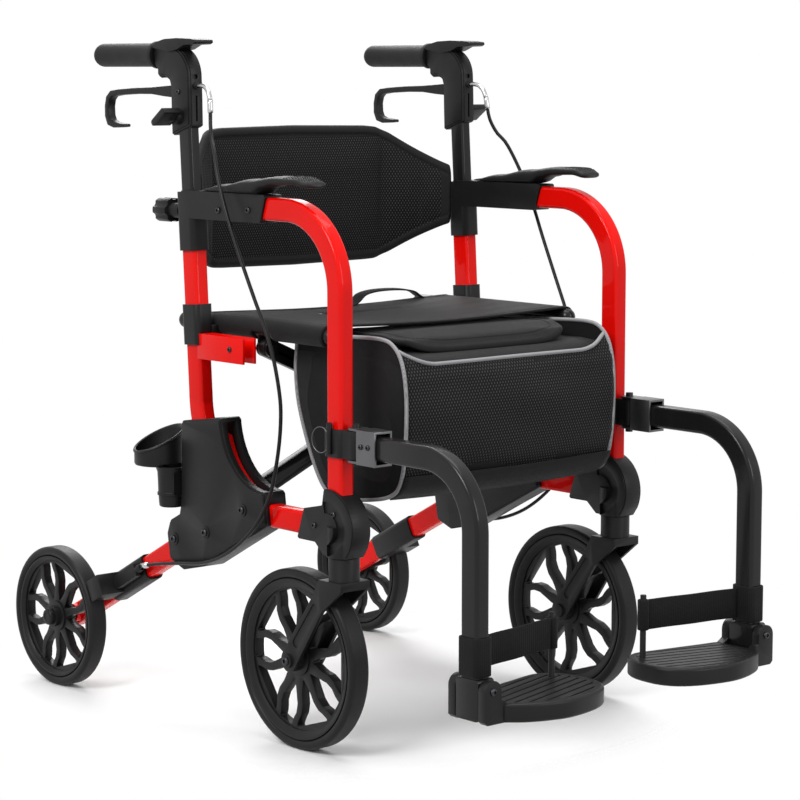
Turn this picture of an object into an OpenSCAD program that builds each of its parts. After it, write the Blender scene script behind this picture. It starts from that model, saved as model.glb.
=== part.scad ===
// Rollator transport chair: two side frames joined by a folding cross brace, with a sling seat,
// a bag, a hoop backrest, swivel front wheels, hand brakes and swing-away footrests.
// +X is forward, +Y is the sitter's left and +Z is up. The floor is z = 0.
// Each side is drawn on the right, at negative y, and mirrored for the left.

/* [Side frame] */
// Half the distance between the two side frames
side_y = 244; // [240:1:250]
// Frame tube size in the plane of the side frame
tube_w = 30; // [29:0.5:32]
// Frame tube size across the chair
tube_t = 22; // [21.5:0.5:24]
// Corner radius of the frame tube
tube_r = 5; // [3:0.5:6]
// Wall of the frame tube
tube_wall = 1.6; // [1.2:0.1:1.8]
// Wall of the moulded collars around the tubes
collar_wall = 3.5; // [2.5:0.5:4]
// Backward lean of the rear post, in degrees
post_lean = 3.5; // [2.5:0.5:4.5]
// Place of the rear post at the height of the post mark
post_x = -112; // [-116:1:-108]
// Height at which the rear post's place is given
post_mark_z = 436; // [430:1:442]
// Height of the lower rail
rail_z = 300; // [297:1:303]
// Bend radius between rear post and lower rail
post_bend_r = 150; // [145:1:155]
// Height of the arm tube
arm_z = 700; // [690:1:706]
// Bend radius between arm tube and front post
arch_r = 100; // [90:1:108]
// Place of the front post
front_x = 183; // [180:1:186]
// Upward slope of the rear leg, in degrees
leg_rise = 27.8; // [27:0.2:28.4]

/* [Wheels] */
// Rear wheel diameter
rear_d = 200; // [194:1:204]
// Rear wheel tyre width
rear_w = 28; // [24:1:30]
// Place of the rear axle
rear_axle_x = -405; // [-410:1:-400]
// Half the rear track
rear_track_y = 283; // [282:1:288]
// Front wheel diameter
front_d = 238; // [232:1:240]
// Front wheel tyre width
front_w = 30; // [26:1:31]
// Distance of the front axle behind its swivel
trail = 85; // [82:1:87]
// Place of the front swivel
stem_x = 190; // [188:1:192]
// Number of spoke pairs of a wheel
spoke_pairs = 5; // [4:1:6]
// Thickness of the tyre
tyre_t = 13; // [11:0.5:14]

/* [Handles] */
// Handle tube size in the plane of the side frame
stem_w = 25.4; // [24:0.1:25.6]
// Handle tube size across the chair
stem_t = 17.4; // [16:0.1:17.6]
// Height of the grip's middle
grip_z = 898; // [894:1:904]
// Length of the rubber grip
grip_len = 132; // [120:1:138]
// Diameter of the rubber grip
grip_d = 32; // [29:0.5:34]
// Thickness of the brake lever
lever_t = 13; // [11:0.5:14]

/* [Seat and fold] */
// Half the distance between the seat rails
rail_y = 212; // [209:1:213]
// Height of the seat rails
seat_z = 538; // [534:1:542]
// Diameter of a seat rail
seat_rail_d = 23; // [20:0.5:24]
// Height of the lower brace pivots
brace_low_z = 325; // [320:1:330]
// Drop of the upper brace pivots below the seat rails
brace_drop = 25; // [23:1:28]
// Depth of a brace bar
brace_w = 25; // [22:1:26]
// Thickness of a brace bar
brace_t = 12; // [9:0.5:12.5]
// Thickness of the seat cloth
cloth_t = 2.5; // [1.5:0.1:2.8]
// Half width of the bag
bag_y = 186; // [178:1:190]
// Wall of the bag
bag_wall = 3; // [2:0.5:4]

/* [Footrests] */
// Height of the footrest arm
foot_z = 411; // [405:1:417]
// Place of the footrest's upright tube
foot_x = 437; // [434:1:440]
// Bend radius of the footrest tube
foot_r = 85; // [78:1:90]
// Height of the footplate hinge
plate_axis_z = 140; // [137:1:144]
// Thickness of the footplate
plate_t = 23; // [20:1:25]
// Gap between the inner ends of the footplates
plate_gap = 106; // [100:1:130]

/* [Fits] */
// Gap between a tube and the piece it sits in
fit = 0.3; // [0.2:0.05:0.4]
// Gap around a turning pin
pin_gap = 0.4; // [0.3:0.05:0.5]
// Side gap between parts that turn past each other
turn_gap = 1; // [0.6:0.1:1.3]

/* [Hidden] */
$fn = 48;

paint = "red";
plastic = [0.2, 0.2, 0.2];
rubber = [0.12, 0.12, 0.12];
steel = [0.6, 0.6, 0.6];
black_metal = [0.24, 0.24, 0.24];
cloth = [0.15, 0.15, 0.16];

// Inner and outer faces of the tubes of the right side frame
tube_in_y = -side_y + tube_t / 2;
tube_out_y = -side_y - tube_t / 2;

// The rear post's middle line, its bend and where the two meet
function post_at(z) = post_x - (z - post_mark_z) * tan(post_lean);
bend_z = rail_z + post_bend_r;
bend_x = post_at(bend_z) + post_bend_r;
post_top_z = arm_z - 4;
rail_end_x = stem_x - 40;

// The rear leg's middle line, through the rear axle
rear_r = rear_d / 2;
function leg_z(x) = rear_r + (x - rear_axle_x) * tan(leg_rise);
leg_top_x = -92;
axle_d = 12;

// The caster: its axle, fork and the hub above it
front_r = front_d / 2;
front_axle_x = stem_x - trail;
crown_low_z = front_r + sqrt(front_r * front_r - pow(trail - 22, 2)) + 4;
crown_t = 11;
boss_top_z = rail_z - 36;
hub_low_z = boss_top_z + turn_gap;
post_foot_z = rail_z + 8;
stem_d = 14;
fork_leg_t = 5;
fork_y = front_w / 2 + 4;

// The fold: two equal bars that cross at their middles
brace_high_z = seat_z - brace_drop;
brace_rise = brace_high_z - brace_low_z;
brace_len = norm([2 * rail_y, brace_rise]);
brace_angle = atan2(brace_rise, 2 * rail_y);
brace_mid_z = (brace_high_z + brace_low_z) / 2;
rising_x = -22;
falling_x = rising_x + 16;
pivot_d = 9;
pivot_eye_d = 23;
lug_t = 4;
lug_x = brace_t / 2 + turn_gap;

// The handle, along the leaned post
handle_top_z = grip_z - 73;
housing_low_z = grip_z - 108;
grip_x = -196;
lever_x = -140.6;
lever_z = grip_z - 49;
housing_t = 24;

// The footrest
plate_top_z = plate_axis_z - 17;
plate_low_z = plate_top_z - plate_t;
plate_y = tube_in_y + 6;
ear_t = 12;
shoe_w = tube_w + 10;
swing_x = front_x + 32;
swing_d = 10;
clamp_h = 36;
flange_t = 3;
foot_start_x = swing_x + 24;
strap_low_z = plate_axis_z + 15;
strap_h = 48;
heel_x = 402;
heel_y = -82;
heel_d = 8;

// Brake cable route on the right, from the lever housing down to the wheel brake
cable_d = 5;
cable_route = [
  [-112.6, -244, 857], [-104, -244.4, 857.4], [-95, -245, 855.5], [-87, -246, 849],
  [-82, -247, 838], [-80, -248.2, 822], [-77, -250.5, 806], [-68, -255.5, 788], [-54, -262, 772],
  [-34, -270, 734], [-12, -273, 690], [12, -272, 640],
  [40, -270, 586], [62, -268, 545], [78, -268, 508], [89, -268, 468], [92, -268, 440],
  [89, -268, 405], [82, -269, 368], [70, -270, 330], [44, -271, 292], [10, -271, 262],
  [-30, -271, 238], [-75, -270, 222], [-125, -268, 214], [-175, -266, 206], [-210, -264, 199],
  [-226, -264, 195]
];

// Shared outlines
module rounded_rect(w, h, r) {
  square([w - 2 * r, h], center = true);
  square([w, h - 2 * r], center = true);
  for (sx = [-1, 1], sy = [-1, 1])
    translate([sx * (w / 2 - r), sy * (h / 2 - r)]) circle(r);
}

module tube_outline(grow = 0) rounded_rect(tube_w + 2 * grow, tube_t + 2 * grow, tube_r + grow);

// A straight run of tube in the side frame's plane, from p to q given as [x, z]
module run(p, q, grow = 0) {
  d = q - p;
  translate([p[0], -side_y, p[1]]) rotate([0, atan2(d[0], d[1]), 0])
    linear_extrude(norm(d)) tube_outline(grow);
}

// A bend of tube in the side frame's plane, about c given as [x, z]
module bend(c, r, start, sweep, grow = 0)
  translate([c[0], -side_y, c[1]]) rotate([90, 0, 0])
    rotate_extrude(angle = sweep, start = start, $fn = 96) translate([r, 0]) tube_outline(grow);

// A flat outline in x and z, made into a plate from y0 to y1
module side_plate(y0, y1)
  translate([0, y1, 0]) rotate([90, 0, 0]) linear_extrude(y1 - y0) children();

// A flat outline in y and z, made into a plate from x0 to x1
module cross_plate(x0, x1)
  translate([x0, 0, 0]) rotate([90, 0, 90]) linear_extrude(x1 - x0) children();

// A cylinder across the chair from y0 to y1
module cross_pin(x, z, d, y0, y1)
  translate([x, y1, z]) rotate([90, 0, 0]) cylinder(d = d, h = y1 - y0);

// A cylinder along the chair from x0 to x1
module long_pin(y, z, d, x0, x1)
  translate([x0, y, z]) rotate([0, 90, 0]) cylinder(d = d, h = x1 - x0);

// An upright cylinder from z0 to z1
module up_pin(x, y, d, z0, z1) translate([x, y, z0]) cylinder(d = d, h = z1 - z0);

// Places the children on the leaned line of the rear post, with z up the post from height z
module on_post(z) translate([post_at(z), -side_y, z]) rotate([0, -post_lean, 0]) children();

// A point on a circle about c, and points of an arc about c
function around(c, r, a) = c + r * [cos(a), sin(a)];
function arc(c, r, a0, a1, n) = [for (i = [0:n]) around(c, r, a0 + (a1 - a0) * i / n)];

// Rounds the outer and inner corners of an outline
module soften(r) offset(r = -r, $fn = 24) offset(r = 2 * r, $fn = 24) offset(delta = -r) children();

// The two sides of a ribbon along points p, with half widths w
function step_at(p, i) = p[min(i + 1, len(p) - 1)] - p[max(i - 1, 0)];
function left_of(d) = [-d[1], d[0]] / norm(d);
function edge(p, w, s) = [for (i = [0:len(p) - 1]) p[i] + s * w[i] * left_of(step_at(p, i))];
function reversed(v) = [for (i = [len(v) - 1:-1:0]) v[i]];
module ribbon(p, w) polygon(concat(edge(p, w, 1), reversed(edge(p, w, -1))));

// Side frame tubes
module front_arch_path(grow = 0) {
  run([-92, arm_z], [front_x - arch_r, arm_z], grow);
  bend([front_x - arch_r, arm_z - arch_r], arch_r, 0, 90, grow);
  run([front_x, post_foot_z], [front_x, arm_z - arch_r], grow);
}

module front_arch() color(paint) front_arch_path();

module lower_path(grow = 0) {
  run([post_at(post_top_z), post_top_z], [post_at(bend_z - 14), bend_z - 14], grow);
  bend([bend_x, bend_z], post_bend_r, 180, 90, grow);
  run([bend_x, rail_z], [rail_end_x, rail_z], grow);
}

// A curved web fills the corner of the bend, behind the open channel of the gusset
web_c = [48, 425];
web_r = 104;
web_t = 12;
module web_outline(r, more = 0) polygon(concat(
  arc(web_c, r, 197 - more, 262 + more, 12),
  arc([bend_x, bend_z], post_bend_r, 262 + more, 195 - more, 12)
));

seat_bracket_low = seat_z - 44;
seat_bracket_h = 34;
module seat_bracket()
  translate([post_at(seat_bracket_low), -side_y, seat_bracket_low]) linear_extrude(seat_bracket_h)
    difference() {
      translate([tube_w / 2 - 4, -tube_t / 2]) square([100, tube_t]);
      translate([tube_w / 2 + 2, -tube_t / 2 + 3]) square([120, tube_t - 6]);
    }

// The post is hollow down to its bend, for the sliding handle tube
module rear_post() color(paint) difference() {
  union() {
    lower_path();
    seat_bracket();
    side_plate(-side_y - web_t / 2, -side_y + web_t / 2) web_outline(web_r);
  }
  run([post_at(bend_z + 4), bend_z + 4], [post_at(post_top_z + 9), post_top_z + 9], -tube_wall);
}

module rear_leg() color(paint) {
  run([rear_axle_x - 16, leg_z(rear_axle_x - 16)], [leg_top_x, leg_z(leg_top_x)]);
  cross_pin(rear_axle_x, rear_r, 26, -rear_track_y + 20 + turn_gap, tube_out_y + 2);
  cross_pin(rear_axle_x, rear_r, axle_d, -rear_track_y - 22, tube_out_y);
  cross_pin(rear_axle_x, rear_r, 19, -rear_track_y - 22, -rear_track_y - 16 - turn_gap);
}

// The moulded gusset joins post, rail and leg, and carries the brace pivot on its inner side
gusset_t = 38;
gusset_in_y = -side_y + gusset_t / 2;
gusset_screws = [[-79, 262], [3, 303], [-150, 244]];
module gusset_outline() soften(5)
  polygon(concat(
    [[-134, 408], [-46, 420]],
    arc(web_c, 94, 183, 270, 14),
    [[54, 288], [-23, 248], [-87, 214], [-134, 203], [-164, 214], [-170, 250], [-163, 268],
     [-141, 279], [-136, 300]]
  ));

module pivot_lugs(x, low = true) {
  for (s = [-1, 1])
    cross_plate(x + s * lug_x - (s < 0 ? lug_t : 0), x + s * lug_x + (s < 0 ? 0 : lug_t)) children();
  long_pin(-rail_y, low ? brace_low_z : brace_high_z, pivot_d,
           x - lug_x - lug_t - 3, x + lug_x + lug_t + 3);
}

module gusset(x) color(plastic) difference() {
  union() {
    side_plate(-side_y - gusset_t / 2 + 3, gusset_in_y - 3) gusset_outline();
    side_plate(-side_y - gusset_t / 2, gusset_in_y) offset(delta = -3) gusset_outline();
    for (p = gusset_screws) cross_pin(p[0], p[1], 17, -side_y - gusset_t / 2 - 1.6, -side_y);
    pivot_lugs(x) {
      translate([-rail_y, brace_low_z]) circle(d = pivot_eye_d);
      translate([gusset_in_y - 2, brace_low_z - pivot_eye_d / 2])
        square([-rail_y - gusset_in_y + 2, pivot_eye_d]);
    }
  }
  lower_path(fit);
  run([rear_axle_x, leg_z(rear_axle_x)], [leg_top_x + fit, leg_z(leg_top_x + fit)], fit);
  side_plate(-side_y - web_t / 2 - 1.5, -side_y + web_t / 2 + 1.5) web_outline(80, 7);
}

// The arm bracket: a collar on the post and a sleeve on the arm tube
module arm_bracket() color(plastic) difference() {
  union() {
    on_post(638) linear_extrude(79) tube_outline(collar_wall);
    side_plate(tube_out_y - collar_wall, tube_in_y + collar_wall) soften(4) polygon([
      [post_at(arm_z) + 4, arm_z - tube_w / 2 - collar_wall], [38, arm_z - tube_w / 2 - collar_wall],
      [50, arm_z + tube_w / 2 + collar_wall], [post_at(arm_z) - 8, arm_z + tube_w / 2 + collar_wall]
    ]);
  }
  run([post_at(600), 600], [post_at(post_top_z + fit), post_top_z + fit], fit);
  on_post(post_top_z - 5) linear_extrude(60) stem_outline(0.6);
  run([-92 - fit, arm_z], [80, arm_z], fit);
  long_pin(-side_y, 690, 8 + 2 * pin_gap, -190, post_at(690));
}

// The arm pad rises forward from the bracket
pad_base_z = arm_z + tube_w / 2 + collar_wall + fit;
pad_in = side_y - rail_y - seat_rail_d / 2 - 3.5;
module arm_pad() color(rubber) intersection() {
  side_plate(-side_y - 30, -side_y + 30) soften(2) polygon([
    [-90, pad_base_z], [36, pad_base_z], [46, pad_base_z + 9], [70, pad_base_z + 13],
    [110, pad_base_z + 14],
    [136, pad_base_z + 10], [143, pad_base_z + 13], [140, pad_base_z + 19], [118, pad_base_z + 25],
    [80, pad_base_z + 25], [20, pad_base_z + 20], [-40, pad_base_z + 11], [-90, pad_base_z + 4]
  ]);
  translate([0, -side_y, 0]) linear_extrude(900) soften(8) polygon([
    [-92, -13], [-40, -20], [30, -24], [110, -24], [138, -18], [146, 0], [138, pad_in - 3], [110, pad_in],
    [30, pad_in], [-40, pad_in - 1], [-92, 13]
  ]);
}

// The caster hub joins front post and lower rail over the swivel, under a curved front fender
hub_c = [front_x - 9, rail_z];
hub_half = tube_t / 2 + collar_wall + 1;
module hub_outline() soften(3) polygon(concat(
  [[hub_c[0] - 11, rail_z + 29]],
  arc(hub_c, 51, 98, -26, 18),
  [[stem_x + 21, hub_low_z], [stem_x - 24, hub_low_z], [hub_c[0] - 26, rail_z - 20],
   [hub_c[0] - 62, rail_z - 20], [hub_c[0] - 48, rail_z + 21]]
));
module hub_recess() translate(hub_c) intersection() {
  difference() {
    circle(r = 35);
    circle(r = 20);
  }
  polygon([[0, 0], [-14, 60], [80, 60], [80, -34], [4, -34]]);
}
module caster_hub() color(plastic) difference() {
  union() {
    side_plate(-side_y - hub_half + 1.5, -side_y + hub_half - 1.5) hub_outline();
    side_plate(-side_y - hub_half, -side_y + hub_half) offset(delta = -1.5) hub_outline();
    up_pin(stem_x, -side_y, 44, hub_low_z, rail_z + 4);
  }
  for (s = [-1, 1]) translate([0, s * (hub_half + 7.6), 0])
    side_plate(-side_y - 10, -side_y + 10) hub_recess();
  lower_path(fit);
  run([front_x, post_foot_z - fit], [front_x, 500], fit);
  up_pin(stem_x, -side_y, stem_d + 2 * pin_gap, hub_low_z - 5, post_foot_z - 4);
}

// The seat saddle: a collar on the rear post and a trough that the seat rail rests in
saddle_z = 512;
saddle_h = 54;
sleeve_d = seat_rail_d + 2 * cloth_t + 2 * fit;
module seat_saddle() color(plastic) difference() {
  union() {
    on_post(saddle_z) linear_extrude(saddle_h) tube_outline(collar_wall);
    translate([post_at(seat_z) - 22, 0, 0]) cross_plate(0, 44) polygon([
      [tube_in_y - 2, saddle_z + 2], [-rail_y + sleeve_d / 2 + 2, seat_z - 16],
      [-rail_y + sleeve_d / 2 + 5, seat_z], [-rail_y + sleeve_d / 2 + 1, seat_z],
      [tube_in_y - 2, seat_z]
    ]);
  }
  run([post_at(480), 480], [post_at(600), 600], fit);
  translate([post_at(seat_z), tube_out_y - fit, seat_bracket_low])
    cube([120, tube_t + 2 * fit, seat_bracket_h + fit]);
  long_pin(-rail_y, seat_z, sleeve_d + 1.4, -200, 0);
  translate([-200, -rail_y - sleeve_d / 2 - 0.7, seat_z]) cube([200, sleeve_d + 1.4, 60]);
}

// The wheel brake: a clamp on the rear leg with a shoe in front of the tyre
function leg_point(d) = [rear_axle_x, rear_r] + d * [cos(leg_rise), sin(leg_rise)];
module along_leg(d) {
  p = leg_point(d);
  translate([p[0], -side_y, p[1]]) rotate([0, -leg_rise, 0]) children();
}
shoe_gap = 3;
module wheel_brake() color(plastic) difference() {
  union() {
    run(leg_point(104), leg_point(196), collar_wall);
    along_leg(rear_r + shoe_gap) translate([0, -rear_track_y + side_y - 11, -14])
      cube([30, rear_track_y - side_y, 30]);
    along_leg(rear_r + shoe_gap + 24) translate([0, -tube_t / 2 - 14, -9]) cube([62, 12, 18]);
    along_leg(rear_r + shoe_gap + 84) translate([0, -tube_t / 2 - 9, 0]) rotate([0, 90, 0])
      cylinder(d = 11, h = 14);
  }
  run(leg_point(60), leg_point(240), fit);
  cross_pin(rear_axle_x, rear_r, rear_d + 2 * shoe_gap, -rear_track_y - 30, tube_out_y - 3);
}

// Handle: a sliding tube, the brake housing with its grip core, the grip and the lever
module stem_outline(grow = 0) rounded_rect(stem_w + 2 * grow, stem_t + 2 * grow, 4 + grow);

module handle_tube() color(black_metal)
  on_post(530) linear_extrude((handle_top_z - 530) / cos(post_lean)) stem_outline();

function hz(z) = z + grip_z - 898;
module housing_outline() soften(3) polygon(concat(
  [[-115.5, hz(803)], [-116, hz(840)], [-117, hz(866)]],
  arc([-158, hz(868)], 41, 8, 70, 8),
  [[-160, hz(914)], [-197, hz(914)], [-197, hz(884)], [-190, hz(879)], [-190, hz(872)], [-184, hz(867)],
   [-173, hz(869)], [-163, hz(864)], [-160, hz(856)], [-159.5, hz(828)], [-158.3, hz(790)]]
));
module thumb_wing() soften(1.8) polygon([
  [-140, hz(905)], [-124, hz(911)], [-104, hz(911.5)], [-98, hz(914)], [-100, hz(917.5)], [-112, hz(919)],
  [-140, hz(920)], [-168, hz(919)], [-190, hz(914.5)], [-197, hz(908)], [-160, hz(902)]
]);

module handle_housing() color(plastic) difference() {
  union() {
    for (e = [[4, 0], [1.4, 1.4], [0, 4]])
      side_plate(-side_y - housing_t / 2 + e[0], -side_y + housing_t / 2 - e[0])
        offset(delta = -e[1]) housing_outline();
    side_plate(-side_y - grip_d / 2 + 1, -side_y + grip_d / 2 - 1) thumb_wing();
    long_pin(-side_y, grip_z, 22, grip_x - grip_len + 14, -150);
    long_pin(-side_y, hz(857), 10, -122, -113);
    cross_pin(-141, hz(816), 22, -side_y - housing_t / 2 - 8, -side_y);
    cross_pin(-141, hz(816), 13, -side_y - housing_t / 2 - 16, -side_y);
    translate([-141, 0, hz(816)]) rotate([0, -35, 0])
      side_plate(-side_y - housing_t / 2 - 34, -side_y - housing_t / 2 - 7) rounded_rect(34, 9, 4);
  }
  on_post(handle_top_z - 200) linear_extrude(200 / cos(post_lean) + fit) stem_outline(fit);
  difference() {
    side_plate(-side_y - lever_t / 2 - turn_gap / 2, -side_y + lever_t / 2 + turn_gap / 2)
      polygon([
        [-205, hz(826)], [-170, hz(834)], [-146, hz(837)], [-129, hz(837)], [-129, hz(861)],
        [-165, hz(864)], [-205, hz(872)]
      ]);
    cross_pin(lever_x, lever_z, 6, -side_y - 20, -side_y + 20);
  }
  translate([-118.6, -side_y - 1.5, hz(810)]) cube([6, 3, 34]);
  long_pin(-side_y, hz(869), 6.5, -121, -110);
}

module grip() color(rubber) difference() {
  union() {
    long_pin(-side_y, grip_z, grip_d, grip_x - grip_len, grip_x - 1);
    translate([grip_x - grip_len, -side_y, grip_z]) intersection() {
      sphere(d = grip_d);
      translate([-10, -30, -30]) cube([20, 60, 60]);
    }
    long_pin(-side_y, grip_z, grip_d + 5, grip_x - 8, grip_x - 1);
  }
  long_pin(-side_y, grip_z, 22 + 2 * fit, grip_x - grip_len + 14 - fit, 0);
}

lever_line = [[-140.6, -49], [-166, -48.5], [-182, -48.5], [-211, -48], [-250, -48.5], [-290, -50.5],
              [-308, -52.5], [-316, -59], [-319, -70], [-318.5, -83], [-314, -92], [-303, -95.5],
              [-290, -96], [-278, -96]];
lever_half = [8, 8, 7, 4.7, 4.2, 4, 4.2, 4.4, 4.2, 4.6, 5, 4, 3, 2];
module brake_lever() color(plastic) difference() {
  union() {
    side_plate(-side_y - lever_t / 2, -side_y + lever_t / 2)
      translate([0, grip_z]) ribbon(lever_line, lever_half);
    cross_pin(lever_x, lever_z, 17, -side_y - lever_t / 2, -side_y + lever_t / 2);
  }
  cross_pin(lever_x, lever_z, 6 + 2 * pin_gap, -side_y - 30, -side_y + 30);
}

// The knob that locks the handle tube, screwed in from behind
module height_knob() color(plastic) {
  translate([-197, -side_y, 690]) rotate([0, 90, 0]) linear_extrude(28) difference() {
    circle(d = 33);
    for (i = [0:5]) rotate(60 * i) translate([20, 0]) circle(d = 12);
  }
  long_pin(-side_y, 690, 20, -172, post_at(690) - tube_w / 2 - collar_wall - 3);
  long_pin(-side_y, 690, 8, -190, post_at(690) - tube_w / 2 - 1.5);
}

// Wheels, drawn about their own axle and then placed
function polar(r, a) = r * [cos(a), sin(a)];
// A wheel window between two wavy spokes: half its angle at each share of its depth
slim_window = [[0, 3], [0.25, 11], [0.5, 14.5], [0.7, 13], [0.85, 9], [1, 8]];
wide_window = [[0, 3], [0.25, 11], [0.5, 11.3], [0.7, 14.6], [0.85, 19.6], [1, 21.3]];
window_steps = 10;
function window_side(r, a, sides, sign) = [for (k = [0:window_steps])
  let (u = k / window_steps) polar(r * (0.24 + 0.535 * u), a + sign * lookup(u, sides) * 5 / spoke_pairs)];
module window(r, a, sides) soften(1.5) polygon(concat(
  window_side(r, a, sides, -1),
  [for (k = [window_steps:-1:0]) window_side(r, a, sides, 1)[k]]
));

module rim(d, w, hub_w) {
  r = d / 2;
  step = 180 / spoke_pairs;
  color(plastic) difference() {
    union() {
      linear_extrude(w * 0.42, center = true) difference() {
        circle(r - tyre_t - 4, $fn = 96);
        for (i = [0:spoke_pairs - 1]) {
          window(r, 2 * i * step, wide_window);
          window(r, (2 * i + 1) * step, slim_window);
        }
      }
      rotate_extrude($fn = 96) polygon([
        [0.79 * r, -w * 0.30], [r - tyre_t - 3, -w * 0.44], [r - tyre_t - fit, -w * 0.44],
        [r - tyre_t - fit, w * 0.44], [r - tyre_t - 3, w * 0.44], [0.79 * r, w * 0.30]
      ]);
      cylinder(d = 44, h = w * 0.62, center = true);
      cylinder(d = 30, h = hub_w, center = true);
    }
    cylinder(d = axle_d + 2 * pin_gap, h = 100, center = true);
  }
}

module tyre(d, w) color(rubber) rotate_extrude($fn = 96)
  translate([d / 2 - tyre_t / 2, 0]) rounded_rect(tyre_t, w, tyre_t / 2 - 0.6);

module at_rear() translate([rear_axle_x, -rear_track_y, rear_r]) rotate([90, 0, 0]) children();
module at_front() translate([front_axle_x, -side_y, front_r]) rotate([90, 0, 0]) children();
module rear_rim() at_rear() rim(rear_d, rear_w, 32);
module rear_tyre() at_rear() tyre(rear_d, rear_w);
module front_rim() at_front() rim(front_d, front_w, 2 * (fork_y - turn_gap));
module front_tyre() at_front() tyre(front_d, front_w);

// The caster fork with its swivel stem and axle
module fork_outline() {
  hull() {
    translate([front_axle_x, front_r]) circle(d = 30);
    translate([stem_x - 26, crown_low_z - 22]) circle(d = 26);
  }
  hull() {
    translate([stem_x - 26, crown_low_z - 22]) circle(d = 26);
    translate([stem_x - 22, crown_low_z]) square([44, crown_t]);
  }
}

module caster_fork() color(black_metal) difference() {
  union() {
    for (s = [-1, 1])
      side_plate(-side_y + s * (fork_y + fork_leg_t / 2) - fork_leg_t / 2,
                 -side_y + s * (fork_y + fork_leg_t / 2) + fork_leg_t / 2) fork_outline();
    translate([stem_x - 22, -side_y - fork_y - fork_leg_t, crown_low_z])
      cube([44, 2 * (fork_y + fork_leg_t), crown_t]);
    up_pin(stem_x, -side_y, 40, crown_low_z, boss_top_z);
    up_pin(stem_x, -side_y, stem_d, crown_low_z, post_foot_z - 6);
    cross_pin(front_axle_x, front_r, axle_d, -side_y - fork_y - 3, -side_y + fork_y + 3);
    for (s = [-1, 1])
      cross_pin(front_axle_x, front_r, 19, -side_y + s * (fork_y + fork_leg_t + 1.5) - 2.5,
                -side_y + s * (fork_y + fork_leg_t + 1.5) + 2.5);
  }
  for (s = [-1, 1])
    side_plate(-side_y + s * (fork_y + fork_leg_t) - 1.5,
               -side_y + s * (fork_y + fork_leg_t) + 1.5) hull() {
      translate([front_axle_x + 16, front_r + 26]) circle(d = 13);
      translate([stem_x - 30, crown_low_z - 28]) circle(d = 13);
    }
}

// The footrest clamp on the front post, with the swing pin
clamp_low_z = foot_z - clamp_h / 2;
clamp_top_z = foot_z + clamp_h / 2;
module foot_clamp() color(plastic) difference() {
  union() {
    translate([front_x, -side_y, clamp_low_z]) linear_extrude(clamp_h) tube_outline(collar_wall);
    up_pin(swing_x, -side_y, 22, clamp_low_z, clamp_top_z);
    translate([front_x + 12, -side_y - 11, clamp_low_z]) cube([swing_x - front_x - 12, 22, clamp_h]);
    up_pin(swing_x, -side_y, swing_d, clamp_low_z - 9, clamp_top_z + 9);
    up_pin(front_x - 2, tube_out_y - collar_wall - 2, 7, clamp_low_z + 4, clamp_top_z + 8);
    up_pin(front_x - 2, tube_in_y + collar_wall + 2, 7, clamp_low_z + 4, clamp_top_z + 8);
  }
  run([front_x, 350], [front_x, 480], fit);
}

// The steel bracket that swings on the clamp's pin and holds the footrest tube
bracket_in = tube_t / 2 + fit;
bracket_x = swing_x + 16;
bracket_len = 36;
module foot_bracket() color(steel) difference() {
  union() {
    for (z = [clamp_low_z - turn_gap - flange_t, clamp_top_z + turn_gap]) translate([0, -side_y, z])
      linear_extrude(flange_t) union() {
        translate([swing_x, 0]) circle(d = 22);
        translate([swing_x, -11]) square([30, 22]);
        translate([bracket_x, -bracket_in - flange_t]) square([bracket_len, 2 * (bracket_in + flange_t)]);
      }
    for (s = [-1, 1])
      translate([bracket_x, -side_y + s * (bracket_in + flange_t / 2) - flange_t / 2,
                 clamp_low_z - turn_gap - flange_t])
        cube([bracket_len, flange_t, clamp_h + 2 * turn_gap + 2 * flange_t]);
  }
  up_pin(swing_x, -side_y, swing_d + 2 * pin_gap, clamp_low_z - 30, clamp_top_z + 30);
}

// The footrest tube with the moulded shoe that carries the plate hinge
module foot_tube() color(black_metal) difference() {
  union() {
    run([foot_start_x, foot_z], [foot_x - foot_r, foot_z]);
    bend([foot_x - foot_r, foot_z - foot_r], foot_r, 0, 90);
    run([foot_x, plate_axis_z - 10], [foot_x, foot_z - foot_r]);
    side_plate(tube_out_y - 2, tube_in_y + 2) soften(4) polygon([
      [foot_x - shoe_w / 2, plate_low_z + 2], [foot_x + shoe_w / 2, plate_low_z + 2],
      [foot_x + shoe_w / 2, plate_axis_z + 13], [foot_x - shoe_w / 2, plate_axis_z + 13]
    ]);
  }
  long_pin(-side_y, plate_axis_z, 8 + 2 * pin_gap, foot_x - 60, foot_x + 60);
}

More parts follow.
